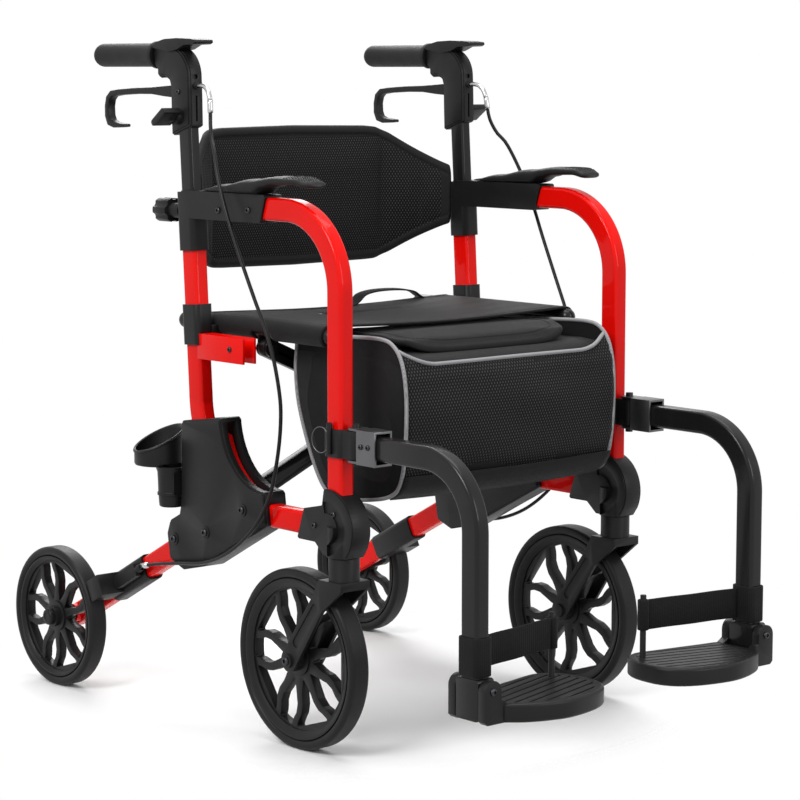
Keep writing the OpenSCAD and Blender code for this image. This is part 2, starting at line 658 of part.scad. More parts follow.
// The footplate: a ribbed fan with two ears around the shoe
plate_end_y = -plate_gap / 2;
plate_edge = [
  [472, plate_y], [488, -206], [499, -180], [505.3, -150], [502, -118], [493, -88], [478, -66],
  [458, plate_end_y - 2], [436, plate_end_y], [412, plate_end_y - 3], [392, -66], [380, -82],
  [377, -98], [402, plate_y]
];
module ear_outline() {
  translate([-side_y, plate_axis_z]) circle(d = 27);
  polygon([
    [-side_y - 13.5, plate_axis_z], [-side_y - 13.5, plate_low_z + 4], [-side_y - 9, plate_low_z],
    [plate_y + 6, plate_low_z], [plate_y + 6, plate_top_z], [-side_y + 13.5, plate_top_z + 6],
    [-side_y + 13.5, plate_axis_z]
  ]);
}
module footplate() color(plastic) {
  difference() {
    union() {
      translate([0, 0, plate_low_z + 3]) linear_extrude(plate_t - 5) soften(4) polygon(plate_edge);
      translate([0, 0, plate_low_z]) linear_extrude(plate_t) offset(delta = -2) soften(4)
        polygon(plate_edge);
    }
    translate([0, 0, plate_low_z - 1]) linear_extrude(plate_t - 5) offset(delta = -7) polygon(plate_edge);
    intersection() {
      translate([0, 0, plate_top_z - 1.5]) linear_extrude(5) offset(delta = -9) polygon(plate_edge);
      for (i = [0:7])
        translate([400 + 14 * i, -150, plate_top_z]) rotate([0, 0, 16]) cube([4, 300, 6], center = true);
    }
  }
  for (x = [foot_x - shoe_w / 2 - turn_gap - ear_t, foot_x + shoe_w / 2 + turn_gap])
    cross_plate(x, x + ear_t) ear_outline();
  long_pin(-side_y, plate_axis_z, 8, foot_x - shoe_w / 2 - 4, foot_x + shoe_w / 2 + 4);
  up_pin(heel_x, heel_y, heel_d, plate_top_z - 4, strap_low_z + strap_h + 2);
}

// The heel strap: a sleeve on the footrest tube and a band to the heel post
module heel_strap() color(cloth) {
  translate([foot_x, -side_y, strap_low_z]) linear_extrude(strap_h) difference() {
    tube_outline(fit + cloth_t);
    tube_outline(fit);
  }
  translate([0, 0, strap_low_z + 4]) linear_extrude(strap_h - 8) {
    ribbon([[foot_x - 6, tube_in_y + fit + 1], [foot_x - 10, tube_in_y + 8], [heel_x + 16, -150],
            [heel_x + 3, heel_y - heel_d / 2 - 1]], [1.4, 1.4, 1.4, 1.4]);
    translate([heel_x, heel_y]) difference() {
      circle(d = heel_d + 2 * fit + 2 * cloth_t);
      circle(d = heel_d + 2 * fit);
    }
  }
}

// The brake cable as one round rod along its route, eight sided
cable_n = len(cable_route);
function along(i) = cable_route[min(i + 1, cable_n - 1)] - cable_route[max(i - 1, 0)];
function unit(v) = v / norm(v);
cable_rings = [for (i = [0:cable_n - 1])
  let (t = unit(along(i)), u = unit(cross(t, [0, 1, 0])), v = cross(t, u))
  for (k = [0:7]) cable_route[i] + cable_d / 2 * (cos(45 * k) * u + sin(45 * k) * v)];
cable_sides = [for (i = [0:cable_n - 2], k = [0:7])
  [8 * i + k, 8 * i + (k + 1) % 8, 8 * i + 8 + (k + 1) % 8, 8 * i + 8 + k]];
cable_ends = [[for (k = [7:-1:0]) k], [for (k = [0:7]) 8 * (cable_n - 1) + k]];
module brake_cable() color(rubber) polyhedron(cable_rings, concat(cable_sides, cable_ends));

// The folding brace: the rising bar goes up to the left and carries the middle pin
module bar_outline(angle) difference() {
  translate([0, brace_mid_z]) rotate(angle) union() {
    square([brace_len, brace_w], center = true);
    for (s = [-1, 1]) translate([s * brace_len / 2, 0]) circle(d = brace_w);
  }
  translate([0, brace_mid_z]) rotate(angle)
    for (s = [-1, 1]) translate([s * brace_len / 2, 0]) circle(d = pivot_d + 2 * pin_gap);
}

module rising_brace() color(black_metal) {
  cross_plate(rising_x - brace_t / 2, rising_x + brace_t / 2) bar_outline(brace_angle);
  long_pin(0, brace_mid_z, 12, rising_x, falling_x + brace_t / 2 + 5);
  long_pin(0, brace_mid_z, 20, falling_x + brace_t / 2 + turn_gap, falling_x + brace_t / 2 + 5);
}

module falling_brace() color(black_metal)
  cross_plate(falling_x - brace_t / 2, falling_x + brace_t / 2) difference() {
    bar_outline(-brace_angle);
    translate([0, brace_mid_z]) circle(d = 12 + 2 * pin_gap);
  }

// A seat rail with rounded ends and the lugs for the top of one brace bar
module seat_rail(x) color(black_metal) {
  long_pin(-rail_y, seat_z, seat_rail_d, -186, 124);
  for (rail_x = [-186, 124]) translate([rail_x, -rail_y, seat_z]) sphere(d = seat_rail_d);
  pivot_lugs(x, false) {
    translate([-rail_y, brace_high_z]) circle(d = pivot_eye_d);
    translate([-rail_y - 9, brace_high_z]) square([18, brace_drop]);
  }
}

// The seat sling: one cloth over both rails, turned around each
seat_sag = 5;
sling_r = seat_rail_d / 2 + fit + cloth_t / 2;
function sag_at(y) = seat_z + sling_r - seat_sag * (1 - pow(y / rail_y, 2));
sling_line = concat(
  arc([-rail_y, seat_z], sling_r, -10, -270, 20),
  [for (i = [-11:11]) [rail_y * i / 12, sag_at(rail_y * i / 12)]],
  arc([rail_y, seat_z], sling_r, 90, -170, 20)
);
module sling_outline() ribbon(sling_line, [for (p = sling_line) cloth_t / 2]);
module seat_sling() color(cloth) difference() {
  cross_plate(-132, 122) sling_outline();
  translate([falling_x - 20, -rail_y - 30, seat_z - 60]) cube([40, 60, 60]);
  translate([rising_x - 20, rail_y - 30, seat_z - 60]) cube([40, 60, 60]);
}

// The bag under the seat: hollow, with a lid over most of its mouth
bag_edge = [
  [22, 524], [20, 480], [26, 440], [44, 392], [66, 350], [86, 330], [110, 324], [160, 328], [206, 338],
  [228, 356], [238, 400], [241, 450], [240, 490], [232, 512]
];
bag_inside = [
  [22 + bag_wall, 540], [20 + bag_wall, 480], [26 + bag_wall, 441], [44 + bag_wall, 394],
  [66 + bag_wall, 352], [87 + bag_wall, 330 + bag_wall], [110, 324 + bag_wall], [160, 328 + bag_wall],
  [206 - bag_wall, 338 + bag_wall], [228 - bag_wall, 357], [238 - bag_wall, 400], [241 - bag_wall, 450],
  [240 - bag_wall, 490], [236 - bag_wall, 540]
];
module under_seat_bag() color(cloth) {
  difference() {
    side_plate(-bag_y, bag_y) polygon(bag_edge);
    side_plate(-bag_y + bag_wall, bag_y - bag_wall) polygon(bag_inside);
  }
  side_plate(-bag_y, bag_y) polygon([
    [20, 520], [60, 530], [150, 533], [186, 528], [196, 516], [200, 517], [190, 532], [152, 537],
    [58, 534], [20, 525]
  ]);
  for (s = [-1, 1], x = [50, 90])
    translate([x, s * (bag_y + 4.6) - 7.7, seat_z - 10]) cube([20, 15.4, 5]);
}

// The backrest: a padded band in plan, cut to its shape seen from the front
module backrest() color(cloth) intersection() {
  linear_extrude(1000) polygon(concat(
    [for (i = [-8:8]) [-206 - 4 * cos(i * 11), 150 * i / 8]],
    [[-188, 178], [-160, 206], [-130, 225.5], [-137, 229.1], [-170, 212], [-198, 184], [-220, 158]],
    [for (i = [8:-1:-8]) [-228 - 6 * cos(i * 11), 146 * i / 8]],
    [[-220, -158], [-198, -184], [-170, -212], [-137, -229.1], [-130, -225.5], [-160, -206], [-188, -178]]
  ));
  cross_plate(-300, -100) soften(6) polygon(concat(
    [[-234, 662], [-166, 613], [-148, 604]],
    [for (i = [-4:4]) [130 * i / 4, 601 + 2 * pow(i / 4, 2)]],
    [[148, 604], [166, 613], [234, 662], [234, 734], [166, 788], [150, 796]],
    [for (i = [4:-1:-4]) [130 * i / 4, 800 - 2 * pow(i / 4, 2)]],
    [[-150, 796], [-166, 788], [-234, 734]]
  ));
}

// The cane holder: a slanted cup over a plain socket, beside the right gusset
cane_x = -190;
cane_y = -262;
cane_d = 76;
module cane_holder() color(plastic) difference() {
  union() {
    difference() {
      up_pin(cane_x, cane_y, cane_d, 338, 402);
      translate([cane_x, cane_y, 379]) rotate([0, -28, 0]) translate([-100, -100, 0]) cube([200, 200, 200]);
    }
    up_pin(cane_x + 32, cane_y, 38, 288, 341);
    translate([cane_x + 36, cane_y - 10, 306]) cube([17.7, 20, 30]);
  }
  up_pin(cane_x, cane_y, cane_d - 7, 342, 500);
  up_pin(cane_x + 32, cane_y, 31, 292, 345);
}

module left() mirror([0, 1, 0]) children();

front_arch();  // right_front_arch
rear_post();  // right_rear_post
rear_leg();  // right_rear_leg
gusset(rising_x);  // right_gusset
arm_bracket();  // right_arm_bracket
arm_pad();  // right_arm_pad
caster_hub();  // right_caster_hub
seat_saddle();  // right_seat_saddle
wheel_brake();  // right_wheel_brake
handle_tube();  // right_handle_tube
handle_housing();  // right_handle_housing
grip();  // right_grip
brake_lever();  // right_brake_lever
height_knob();  // right_height_knob
rear_rim();  // right_rear_rim
rear_tyre();  // right_rear_tyre
caster_fork();  // right_caster_fork
front_rim();  // right_front_rim
front_tyre();  // right_front_tyre
foot_clamp();  // right_foot_clamp
foot_bracket();  // right_foot_bracket
foot_tube();  // right_foot_tube
footplate();  // right_footplate
heel_strap();  // right_heel_strap
brake_cable();  // right_brake_cable
left() front_arch();  // left_front_arch
left() rear_post();  // left_rear_post
left() rear_leg();  // left_rear_leg
left() gusset(falling_x);  // left_gusset
left() arm_bracket();  // left_arm_bracket
left() arm_pad();  // left_arm_pad
left() caster_hub();  // left_caster_hub
left() seat_saddle();  // left_seat_saddle
left() wheel_brake();  // left_wheel_brake
left() handle_tube();  // left_handle_tube
left() handle_housing();  // left_handle_housing
left() grip();  // left_grip
left() brake_lever();  // left_brake_lever
left() height_knob();  // left_height_knob
left() rear_rim();  // left_rear_rim
left() rear_tyre();  // left_rear_tyre
left() caster_fork();  // left_caster_fork
left() front_rim();  // left_front_rim
left() front_tyre();  // left_front_tyre
left() foot_clamp();  // left_foot_clamp
left() foot_bracket();  // left_foot_bracket
left() foot_tube();  // left_foot_tube
left() footplate();  // left_footplate
left() heel_strap();  // left_heel_strap
left() brake_cable();  // left_brake_cable
rising_brace();
falling_brace();
seat_rail(falling_x);  // right_seat_rail
left() seat_rail(rising_x);  // left_seat_rail
seat_sling();
under_seat_bag();
backrest();
cane_holder();
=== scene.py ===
"""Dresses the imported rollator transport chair: finishes, cloth, cables, screws and stitching."""
import math

import bmesh
import bpy
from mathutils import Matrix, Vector


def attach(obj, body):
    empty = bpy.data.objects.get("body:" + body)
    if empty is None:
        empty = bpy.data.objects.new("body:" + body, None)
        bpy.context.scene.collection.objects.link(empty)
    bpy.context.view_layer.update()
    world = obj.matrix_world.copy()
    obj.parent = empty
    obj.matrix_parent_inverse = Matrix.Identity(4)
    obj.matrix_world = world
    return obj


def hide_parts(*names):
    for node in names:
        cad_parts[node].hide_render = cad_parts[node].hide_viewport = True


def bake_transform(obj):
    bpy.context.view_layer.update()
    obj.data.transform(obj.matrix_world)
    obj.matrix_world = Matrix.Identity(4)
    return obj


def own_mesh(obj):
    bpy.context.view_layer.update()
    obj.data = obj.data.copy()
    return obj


bl_info = {
    "name": "Rollator transport chair dresser",
    "version": (1, 0, 0),
    "blender": (4, 5, 0),
    "location": "View3D > Sidebar > Rollator",
    "description": "Builds the finishes, cloth and small fittings of a rollator transport chair on its frame",
    "category": "Object",
}

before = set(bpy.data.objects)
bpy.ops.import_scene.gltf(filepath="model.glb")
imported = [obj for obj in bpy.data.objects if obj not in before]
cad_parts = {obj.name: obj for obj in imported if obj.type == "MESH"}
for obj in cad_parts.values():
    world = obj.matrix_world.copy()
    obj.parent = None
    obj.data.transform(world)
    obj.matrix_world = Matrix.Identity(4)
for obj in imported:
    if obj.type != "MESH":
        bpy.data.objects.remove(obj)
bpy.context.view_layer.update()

# Places in metres. The right side frame stands at -SIDE_Y and the left one at SIDE_Y.
SIDES = (("right", -1), ("left", 1))
SIDE_Y = 0.244
RAIL_Y = 0.212
RAIL_R = 0.0115
SEAT_Z = 0.538

# The right brake cable's route from the lever housing to the wheel brake.
CABLE_ROUTE = [
    (-0.1126, -0.244, 0.857), (-0.104, -0.2444, 0.8574), (-0.095, -0.245, 0.8555), (-0.087, -0.246, 0.849),
    (-0.082, -0.247, 0.838), (-0.080, -0.2482, 0.822), (-0.077, -0.2505, 0.806), (-0.068, -0.2555, 0.788),
    (-0.054, -0.262, 0.772), (-0.034, -0.270, 0.734),
    (-0.012, -0.273, 0.690), (0.012, -0.272, 0.640), (0.040, -0.270, 0.586), (0.062, -0.268, 0.545),
    (0.078, -0.268, 0.508), (0.089, -0.268, 0.468), (0.092, -0.268, 0.440), (0.089, -0.268, 0.405),
    (0.082, -0.269, 0.368), (0.070, -0.270, 0.330), (0.044, -0.271, 0.292), (0.010, -0.271, 0.262),
    (-0.030, -0.271, 0.238), (-0.075, -0.270, 0.222), (-0.125, -0.268, 0.214), (-0.175, -0.266, 0.206),
    (-0.210, -0.264, 0.199), (-0.226, -0.264, 0.195),
]


# Settings that the panel shows


def colour_value(name, description, default):
    return bpy.props.FloatVectorProperty(name=name, description=description, subtype="COLOR", size=3, min=0,
                                         max=1, default=default)


def length_value(name, description, default, low, high):
    return bpy.props.FloatProperty(name=name, description=description, default=default, min=low, max=high,
                                   unit="LENGTH")


class RollatorColours(bpy.types.PropertyGroup):
    """Colours of the finishes, as linear values."""

    paint: colour_value("Frame paint", "Gloss paint of the side frames", (0.80, 0.0040, 0.0020))
    plastic: colour_value("Moulded plastic", "Brackets, gussets, housings and footplates",
                          (0.0075, 0.0075, 0.008))
    metal: colour_value("Coated metal", "Footrest tubes, handle tubes and braces", (0.0065, 0.0065, 0.007))
    tyre: colour_value("Tyre", "Solid tyres of the wheels", (0.0065, 0.0065, 0.0068))
    cloth: colour_value("Cloth", "Seat, bag and straps", (0.0060, 0.0060, 0.0064))
    piping: colour_value("Piping", "Edge binding of the bag", (0.26, 0.26, 0.27))


class RollatorSizes(bpy.types.PropertyGroup):
    """Sizes of the small fittings."""

    cable: length_value("Cable", "Diameter of a brake cable", 0.005, 0.003, 0.007)
    screw: length_value("Screw head", "Diameter of a frame screw's head", 0.0115, 0.006, 0.016)
    stitch: length_value("Stitch", "Length of one stitch", 0.0034, 0.002, 0.006)
    edge: length_value("Moulded edge", "Rounding of the edges of moulded pieces", 0.0014, 0.0004, 0.003)


# Node trees


class Tone:
    """A value in a node tree. Arithmetic on it adds Math nodes."""

    def __init__(self, net, socket):
        self.net = net
        self.socket = socket

    def beside(self, name):
        """Another output of the same node."""
        return Tone(self.net, self.socket.node.outputs[name])

    def _math(self, operation, *values):
        return self.net.node("ShaderNodeMath", {"operation": operation}, dict(enumerate(values)))

    def __add__(self, other):
        return self._math("ADD", self, other)

    __radd__ = __add__

    def __sub__(self, other):
        return self._math("SUBTRACT", self, other)

    def __rsub__(self, other):
        return self._math("SUBTRACT", other, self)

    def __mul__(self, other):
        return self._math("MULTIPLY", self, other)

    __rmul__ = __mul__

    def above(self, limit):
        return self._math("GREATER_THAN", self, limit)

    def larger(self, other):
        return self._math("MAXIMUM", self, other)

    def size(self):
        return self._math("ABSOLUTE", self)

    def wave(self):
        return self._math("SINE", self)


class Net:
    """A node tree being built."""

    def __init__(self, tree):
        self.tree = tree

    def feed(self, value, socket):
        """Links a tone to a socket, or sets a constant on it."""
        if isinstance(value, Tone):
            self.tree.links.new(value.socket, socket)
        else:
            socket.default_value = value

    def node(self, kind, settings=None, inputs=None, out=0):
        """Adds a node and returns one of its outputs."""
        made = self.tree.nodes.new(kind)
        for key, value in (settings or {}).items():
            setattr(made, key, value)
        for key, value in (inputs or {}).items():
            self.feed(value, made.inputs[key])
        return Tone(self, made.outputs[out])


class Group(Net):
    """A geometry group being built. Its further inputs are (name, kind of socket) pairs."""

    def __init__(self, name, *inputs):
        super().__init__(bpy.data.node_groups.new(name, "GeometryNodeTree"))
        face = self.tree.interface
        for label, kind in (("Geometry", "Geometry"), *inputs):
            face.new_socket(label, in_out="INPUT", socket_type="NodeSocket" + kind)
        face.new_socket("Geometry", in_out="OUTPUT", socket_type="NodeSocketGeometry")
        self.start = self.node("NodeGroupInput")

    def close(self, geometry):
        """Leads the geometry out and returns the finished tree."""
        self.feed(geometry, self.tree.nodes.new("NodeGroupOutput").inputs[0])
        return self.tree


# Finishes


class Finish(Net):
    """A material being built around one Principled shader."""

    def __init__(self, name, colour, roughness, **fixed):
        self.material = bpy.data.materials.new(name)
        self.material.use_nodes = True
        super().__init__(self.material.node_tree)
        self.shader = self.tree.nodes["Principled BSDF"]
        self.set("Base Color", (*colour, 1))
        self.set("Roughness", roughness)
        for key, value in fixed.items():
            self.set(key.replace("_", " ").title().replace("Ior", "IOR"), value)
        self.material.diffuse_color = (*colour, 1)

    def set(self, name, value):
        self.feed(value, self.shader.inputs[name])

    def place(self, scale=1.0, unrolled=False):
        """Scaled object place, or the place on the unrolled cloth."""
        start = self.node("ShaderNodeTexCoord", out="UV" if unrolled else "Object")
        size = scale if isinstance(scale, tuple) else (scale, scale, scale)
        return self.node("ShaderNodeMapping", {}, {"Vector": start, "Scale": size})

    def axes(self, scale=1.0, unrolled=False):
        first = self.node("ShaderNodeSeparateXYZ", {}, {0: self.place(scale, unrolled)})
        return [first.beside(name) for name in "XYZ"]

    def noise(self, scale, detail=3.0, rough=0.5, place=None):
        return self.node("ShaderNodeTexNoise", {}, {"Vector": place or self.place(), "Scale": scale,
                                                    "Detail": detail, "Roughness": rough})

    def mix(self, factor, first, second):
        made = self.tree.nodes.new("ShaderNodeMix")
        made.data_type = "RGBA"
        self.feed(factor, made.inputs[0])
        for key, value in ((6, first), (7, second)):
            self.feed(value if isinstance(value, Tone) else (*value, 1), made.inputs[key])
        return Tone(self, made.outputs[2])

    def vary(self, tone, colour, dark, light):
        """Base colour between a darker and a lighter shade."""
        self.set("Base Color", self.mix(tone, shade(colour, dark), shade(colour, light)))

    def ease(self, value, low, high, first=0.0, last=1.0):
        """A smooth step of a value from one end of a range to the other."""
        return self.node("ShaderNodeMapRange", {"interpolation_type": "SMOOTHSTEP"},
                         {"Value": value, "From Min": low, "From Max": high, "To Min": first, "To Max": last})

    def bump(self, height, strength, distance):
        self.set("Normal", self.node("ShaderNodeBump", {}, {"Strength": strength, "Distance": distance,
                                                            "Height": height}))


def shade(colour, share):
    return tuple(min(1.0, c * share) for c in colour)


def paint_finish(colour):
    """Gloss paint with faint depth and a fine orange peel."""
    f = Finish("frame_paint", colour, 0.24, coat_weight=0.22, coat_roughness=0.03, specular_ior_level=0.05)
    f.vary(f.noise(14, 2), colour, 0.86, 1.08)
    f.set("Roughness", 0.2 + 0.1 * f.noise(60, 4))
    f.bump(f.noise(420, 2), 0.05, 0.0006)
    return f.material


def moulded_finish(name, colour, rough, grain, depth):
    """Moulded plastic or rubber with a fine grain and slightly polished patches."""
    f = Finish(name, colour, rough, specular_ior_level=0.2)
    f.vary(f.noise(22, 4, 0.6), colour, 0.75, 1.45)
    f.set("Roughness", rough - 0.08 + 0.16 * f.noise(48, 3))
    speck = f.node("ShaderNodeTexVoronoi", {"feature": "F1"}, {"Vector": f.place(), "Scale": grain})
    f.bump(speck, depth, 0.0004)
    return f.material


def coated_finish(name, colour, rough):
    """Satin powder coat."""
    f = Finish(name, colour, rough, coat_weight=0.3, coat_roughness=0.1, specular_ior_level=0.1)
    f.vary(f.noise(16, 3), colour, 0.8, 1.3)
    f.set("Roughness", rough - 0.05 + 0.12 * f.noise(70, 4))
    f.bump(f.noise(900, 2), 0.12, 0.0004)
    return f.material


def steel_finish(name, colour, rough, lines):
    """Plated steel with drawn lines."""
    f = Finish(name, colour, rough, metallic=1.0)
    drawn = f.noise(lines, place=f.place((12, 12, 260)))
    f.set("Roughness", rough - 0.06 + 0.12 * drawn)
    f.vary(f.noise(30, 3), colour, 0.8, 1.15)
    f.bump(drawn, 0.02, 0.0002)
    return f.material


def cloth_base(name, colour, rough):
    """Dull cloth with a little sheen."""
    return Finish(name, colour, rough, sheen_weight=0.06, sheen_roughness=0.4, specular_ior_level=0.14)


def woven_finish(name, colour, pitch, depth):
    """Plain woven nylon: two sets of threads that pass over and under."""
    f = cloth_base(name, colour, 0.72)
    x, y, z = f.axes(math.tau / pitch)
    warp = (x + z * 0.7).wave()
    weft = (y + z * 0.7).wave()
    thread = (warp * weft) * 0.5 + 0.5
    f.vary(thread, colour, 0.55, 1.7)
    f.set("Roughness", 0.62 + 0.16 * f.noise(90, 3))
    f.bump(thread + 0.6 * f.noise(26, 3), depth, 0.0009)
    return f.material


def net_finish(name, colour, pitch, border=None, unrolled=False):
    """Spacer net: a diamond grid of knots over holes, with painted highlights on the knots and painted shade
    in the holes, inside a plain border where one is given.
    """
    f = Finish(name, colour, 0.7, sheen_weight=0.04, sheen_roughness=0.4, specular_ior_level=0.12)
    x, y, z = f.axes(math.pi / pitch, unrolled)
    if unrolled:
        y, z = x, y
    knots = (y + z * 0.62).wave() * (y - z * 0.62).wave()
    knot_and_highlight = f.ease(knots * knots, 0.30, 0.62)
    # Painted shade: the holes are darker than the cloth itself.
    tone = shade(colour, 0.3)
    if border is not None:
        inside = border(f)
        knot_and_highlight = knot_and_highlight * inside
        tone = f.mix(inside, shade(colour, 1.4), tone)
    patchy = 0.55 + 0.9 * f.noise(9, 2)
    # Painted highlight: the knots are lit pale, in patches.
    f.set("Base Color", f.mix(knot_and_highlight * patchy, tone, shade(colour, 6.5)))
    f.set("Roughness", 0.66 + 0.12 * knot_and_highlight)
    f.bump(knot_and_highlight, 0.5, 0.0012)
    return f.material


def back_border(f):
    """1 inside the backrest's seam and 0 on its bound edge, whose ends taper."""
    _, y, z = f.axes()
    wing = (y.size() - 0.149).larger(0)
    top = ((0.7835 - wing * 0.74) - z).above(0)
    low = (z - (0.6165 + wing * 0.674)).above(0)
    return top * low * (0.216 - y.size()).above(0)


def ribbed_finish(name, colour, pitch):
    """Strap webbing: fine ribs across and a soft edge."""
    f = cloth_base(name, colour, 0.75)
    x, y, z = f.axes(math.tau / pitch)
    rib = (z.wave() * 0.5 + 0.5) * 0.7 + ((x + y) * 0.5).wave() * 0.3
    f.vary(rib, colour, 0.6, 1.6)
    f.set("Roughness", 0.66 + 0.14 * f.noise(60, 2))
    f.bump(rib, 0.35, 0.0008)
    return f.material


FINISHES = {}


def make_finishes():
    """Builds every finish once."""
    c = bpy.context.scene.rollator_colours
    FINISHES.update(
        paint=paint_finish(c.paint),
        plastic=moulded_finish("moulded_plastic", c.plastic, 0.42, 900, 0.10),
        rim=moulded_finish("wheel_plastic", shade(c.plastic, 0.9), 0.40, 700, 0.06),
        rubber=moulded_finish("soft_rubber", shade(c.plastic, 0.85), 0.58, 1300, 0.16),
        tyre=moulded_finish("solid_tyre", c.tyre, 0.46, 500, 0.08),
        metal=coated_finish("coated_metal", c.metal, 0.36),
        steel=steel_finish("plated_steel", (0.13, 0.13, 0.135), 0.36, 4),
        bright=steel_finish("bright_wire", (0.52, 0.52, 0.53), 0.26, 1.5),
        dark_steel=steel_finish("black_oxide_screws", (0.05, 0.05, 0.055), 0.32, 6),
        seat=woven_finish("seat_cloth", shade(c.cloth, 1.25), 0.0019, 0.30),
        bag=woven_finish("bag_cloth", c.cloth, 0.0016, 0.30),
        lid=woven_finish("lid_cloth", shade(c.cloth, 1.1), 0.0015, 0.26),
        net=net_finish("pocket_net", shade(c.cloth, 1.5), 0.0048),
        back=net_finish("back_net", shade(c.cloth, 1.2), 0.0044, back_border, True),
        piping=woven_finish("edge_piping", c.piping, 0.0014, 0.25),
        webbing=ribbed_finish("strap_webbing", shade(c.cloth, 1.2), 0.0017),
        thread=woven_finish("stitch_thread", shade(c.cloth, 3.0), 0.0010, 0.2),
        sheath=moulded_finish("cable_sheath", shade(c.plastic, 0.8), 0.34, 1500, 0.03),
    )


# Shapes


def smooth(mesh, angle=None):
    """Shades a mesh smooth, with sharp edges above an angle in degrees where one is given."""
    for face in mesh.polygons:
        face.use_smooth = True
    if angle is not None:
        mesh.set_sharp_from_angle(angle=math.radians(angle))


def link_new(name, mesh):
    obj = bpy.data.objects.new(name, mesh)
    bpy.context.scene.collection.objects.link(obj)
    return obj


def add_mesh(name, points, faces, finish, angle=None):
    """Links a new mesh object at the origin."""
    mesh = bpy.data.meshes.new(name)
    mesh.from_pydata([tuple(p) for p in points], [], faces)
    mesh.validate()
    made = bmesh.new()
    made.from_mesh(mesh)
    bmesh.ops.recalc_face_normals(made, faces=made.faces)
    made.to_mesh(mesh)
    made.free()
    smooth(mesh, angle)
    mesh.materials.append(FINISHES[finish])
    return link_new(name, mesh)


def evaluated_mesh(obj):
    bpy.context.view_layer.update()
    depth = bpy.context.evaluated_depsgraph_get()
    return bpy.data.meshes.new_from_object(obj.evaluated_get(depth), depsgraph=depth)


def flatten_modifiers(obj):
    """Replaces an object's mesh by its evaluated mesh and drops the modifiers."""
    old = obj.data
    mesh = evaluated_mesh(obj)
    obj.modifiers.clear()
    obj.data = mesh
    bpy.data.meshes.remove(old)
    return obj


def circle(radius, z, sides, middle=(0, 0)):
    """A level ring of points."""
    return [Vector((middle[0] + radius * math.cos(math.tau * i / sides),
                    middle[1] + radius * math.sin(math.tau * i / sides), z)) for i in range(sides)]


def turned(profile, sides, middle=(0, 0)):
    """Rings of a shape that is turned about an upright axis, from (radius, height) pairs."""
    return [circle(radius, z, sides, middle) for radius, z in profile]


def loft(rings, caps=True):
    """Points and faces of a skin over closed rings of equal length."""
    points = [p for ring in rings for p in ring]
    n = len(rings[0])
    faces = []
    for i in range(len(rings) - 1):
        for j in range(n):
            k = (j + 1) % n
            faces.append((i * n + j, i * n + k, (i + 1) * n + k, (i + 1) * n + j))
    if caps:
        faces.append(tuple(range(n - 1, -1, -1)))
        faces.append(tuple(range((len(rings) - 1) * n, len(rings) * n)))
    return points, faces


def smooth_path(points, step, parts=24):
    """A smooth line through the points, cut into even steps, and its length."""
    pts = [Vector(p) for p in points]
    pts = [2 * pts[0] - pts[1]] + pts + [2 * pts[-1] - pts[-2]]
    fine = []
    for a, b, c, d in zip(pts, pts[1:], pts[2:], pts[3:]):
        for i in range(parts):
            t = i / parts
            fine.append(0.5 * (2 * b + (c - a) * t + (2 * a - 5 * b + 4 * c - d) * t * t
                               + (3 * b - a - 3 * c + d) * t ** 3))
    fine.append(pts[-2])
    length = sum((q - p).length for p, q in zip(fine, fine[1:]))
    count = max(2, round(length / step))
    out, gone, target = [fine[0]], 0.0, length / count
    for p, q in zip(fine, fine[1:]):
        part = (q - p).length
        while part > 0 and gone + part >= target * len(out) - 1e-12 and len(out) < count:
            out.append(p.lerp(q, (target * len(out) - gone) / part))
        gone += part
    return out + [fine[-1]], length


def neighbours(line, i, closed):
    """The points before and after a point of a line."""
    n = len(line)
    before = line[(i - 1) % n] if closed or i > 0 else line[0]
    after = line[(i + 1) % n] if closed or i < n - 1 else line[-1]
    return before, after


def sweep(line, section, closed=False):
    """Rings of a section carried along a line. A section point is (across, up)."""
    rings = []
    side = None
    for i, p in enumerate(line):
        before, after = neighbours(line, i, closed)
        way = (after - before).normalized()
        if side is None:
            up = Vector((0, 0, 1)) if abs(way.z) < 0.9 else Vector((1, 0, 0))
            side = way.cross(up).normalized()
        side = (side - way * side.dot(way)).normalized()
        top = side.cross(way)
        rings.append([p + side * a + top * b for a, b in section])
    return rings


def hoop(line, section):
    """Points and faces of a section carried round a closed line."""
    rings = sweep(line, section, True)
    return loft(rings + rings[:1], False)


def round_section(radius, sides=12):
    return [(p.x, p.y) for p in circle(radius, 0, sides)]


def flat_section(wide, thick, sides=4):
    """A strap's section with rounded edges: `wide` goes across and `thick` up."""
    r = thick / 2
    half = wide / 2 - r
    right = [(half + r * math.cos(a), r * math.sin(a)) for a in
             [math.radians(-90 + 180 * i / sides) for i in range(sides + 1)]]
    return right + [(-a, -b) for a, b in right]


def tube(name, line, radius, finish, sides=12):
    return add_mesh(name, *loft(sweep(line, round_section(radius, sides))), finish)


def strap(name, line, wide, thick, finish):
    return add_mesh(name, *loft(sweep(line, flat_section(wide, thick))), finish)


def mirrored(points, side):
    """The points of the right side, or their mirror image for the left side."""
    return [(x, y if side < 0 else -y, z) for x, y, z in points]


def between(table, x, eased=True):
    """Value of a table of (x, value) pairs at x, eased or straight between its entries."""
    if x <= table[0][0]:
        return table[0][1]
    for (a, u), (b, v) in zip(table, table[1:]):
        if x <= b:
            t = (x - a) / (b - a)
            if eased:
                t = t * t * (3 - 2 * t)
            return u + (v - u) * t
    return table[-1][1]


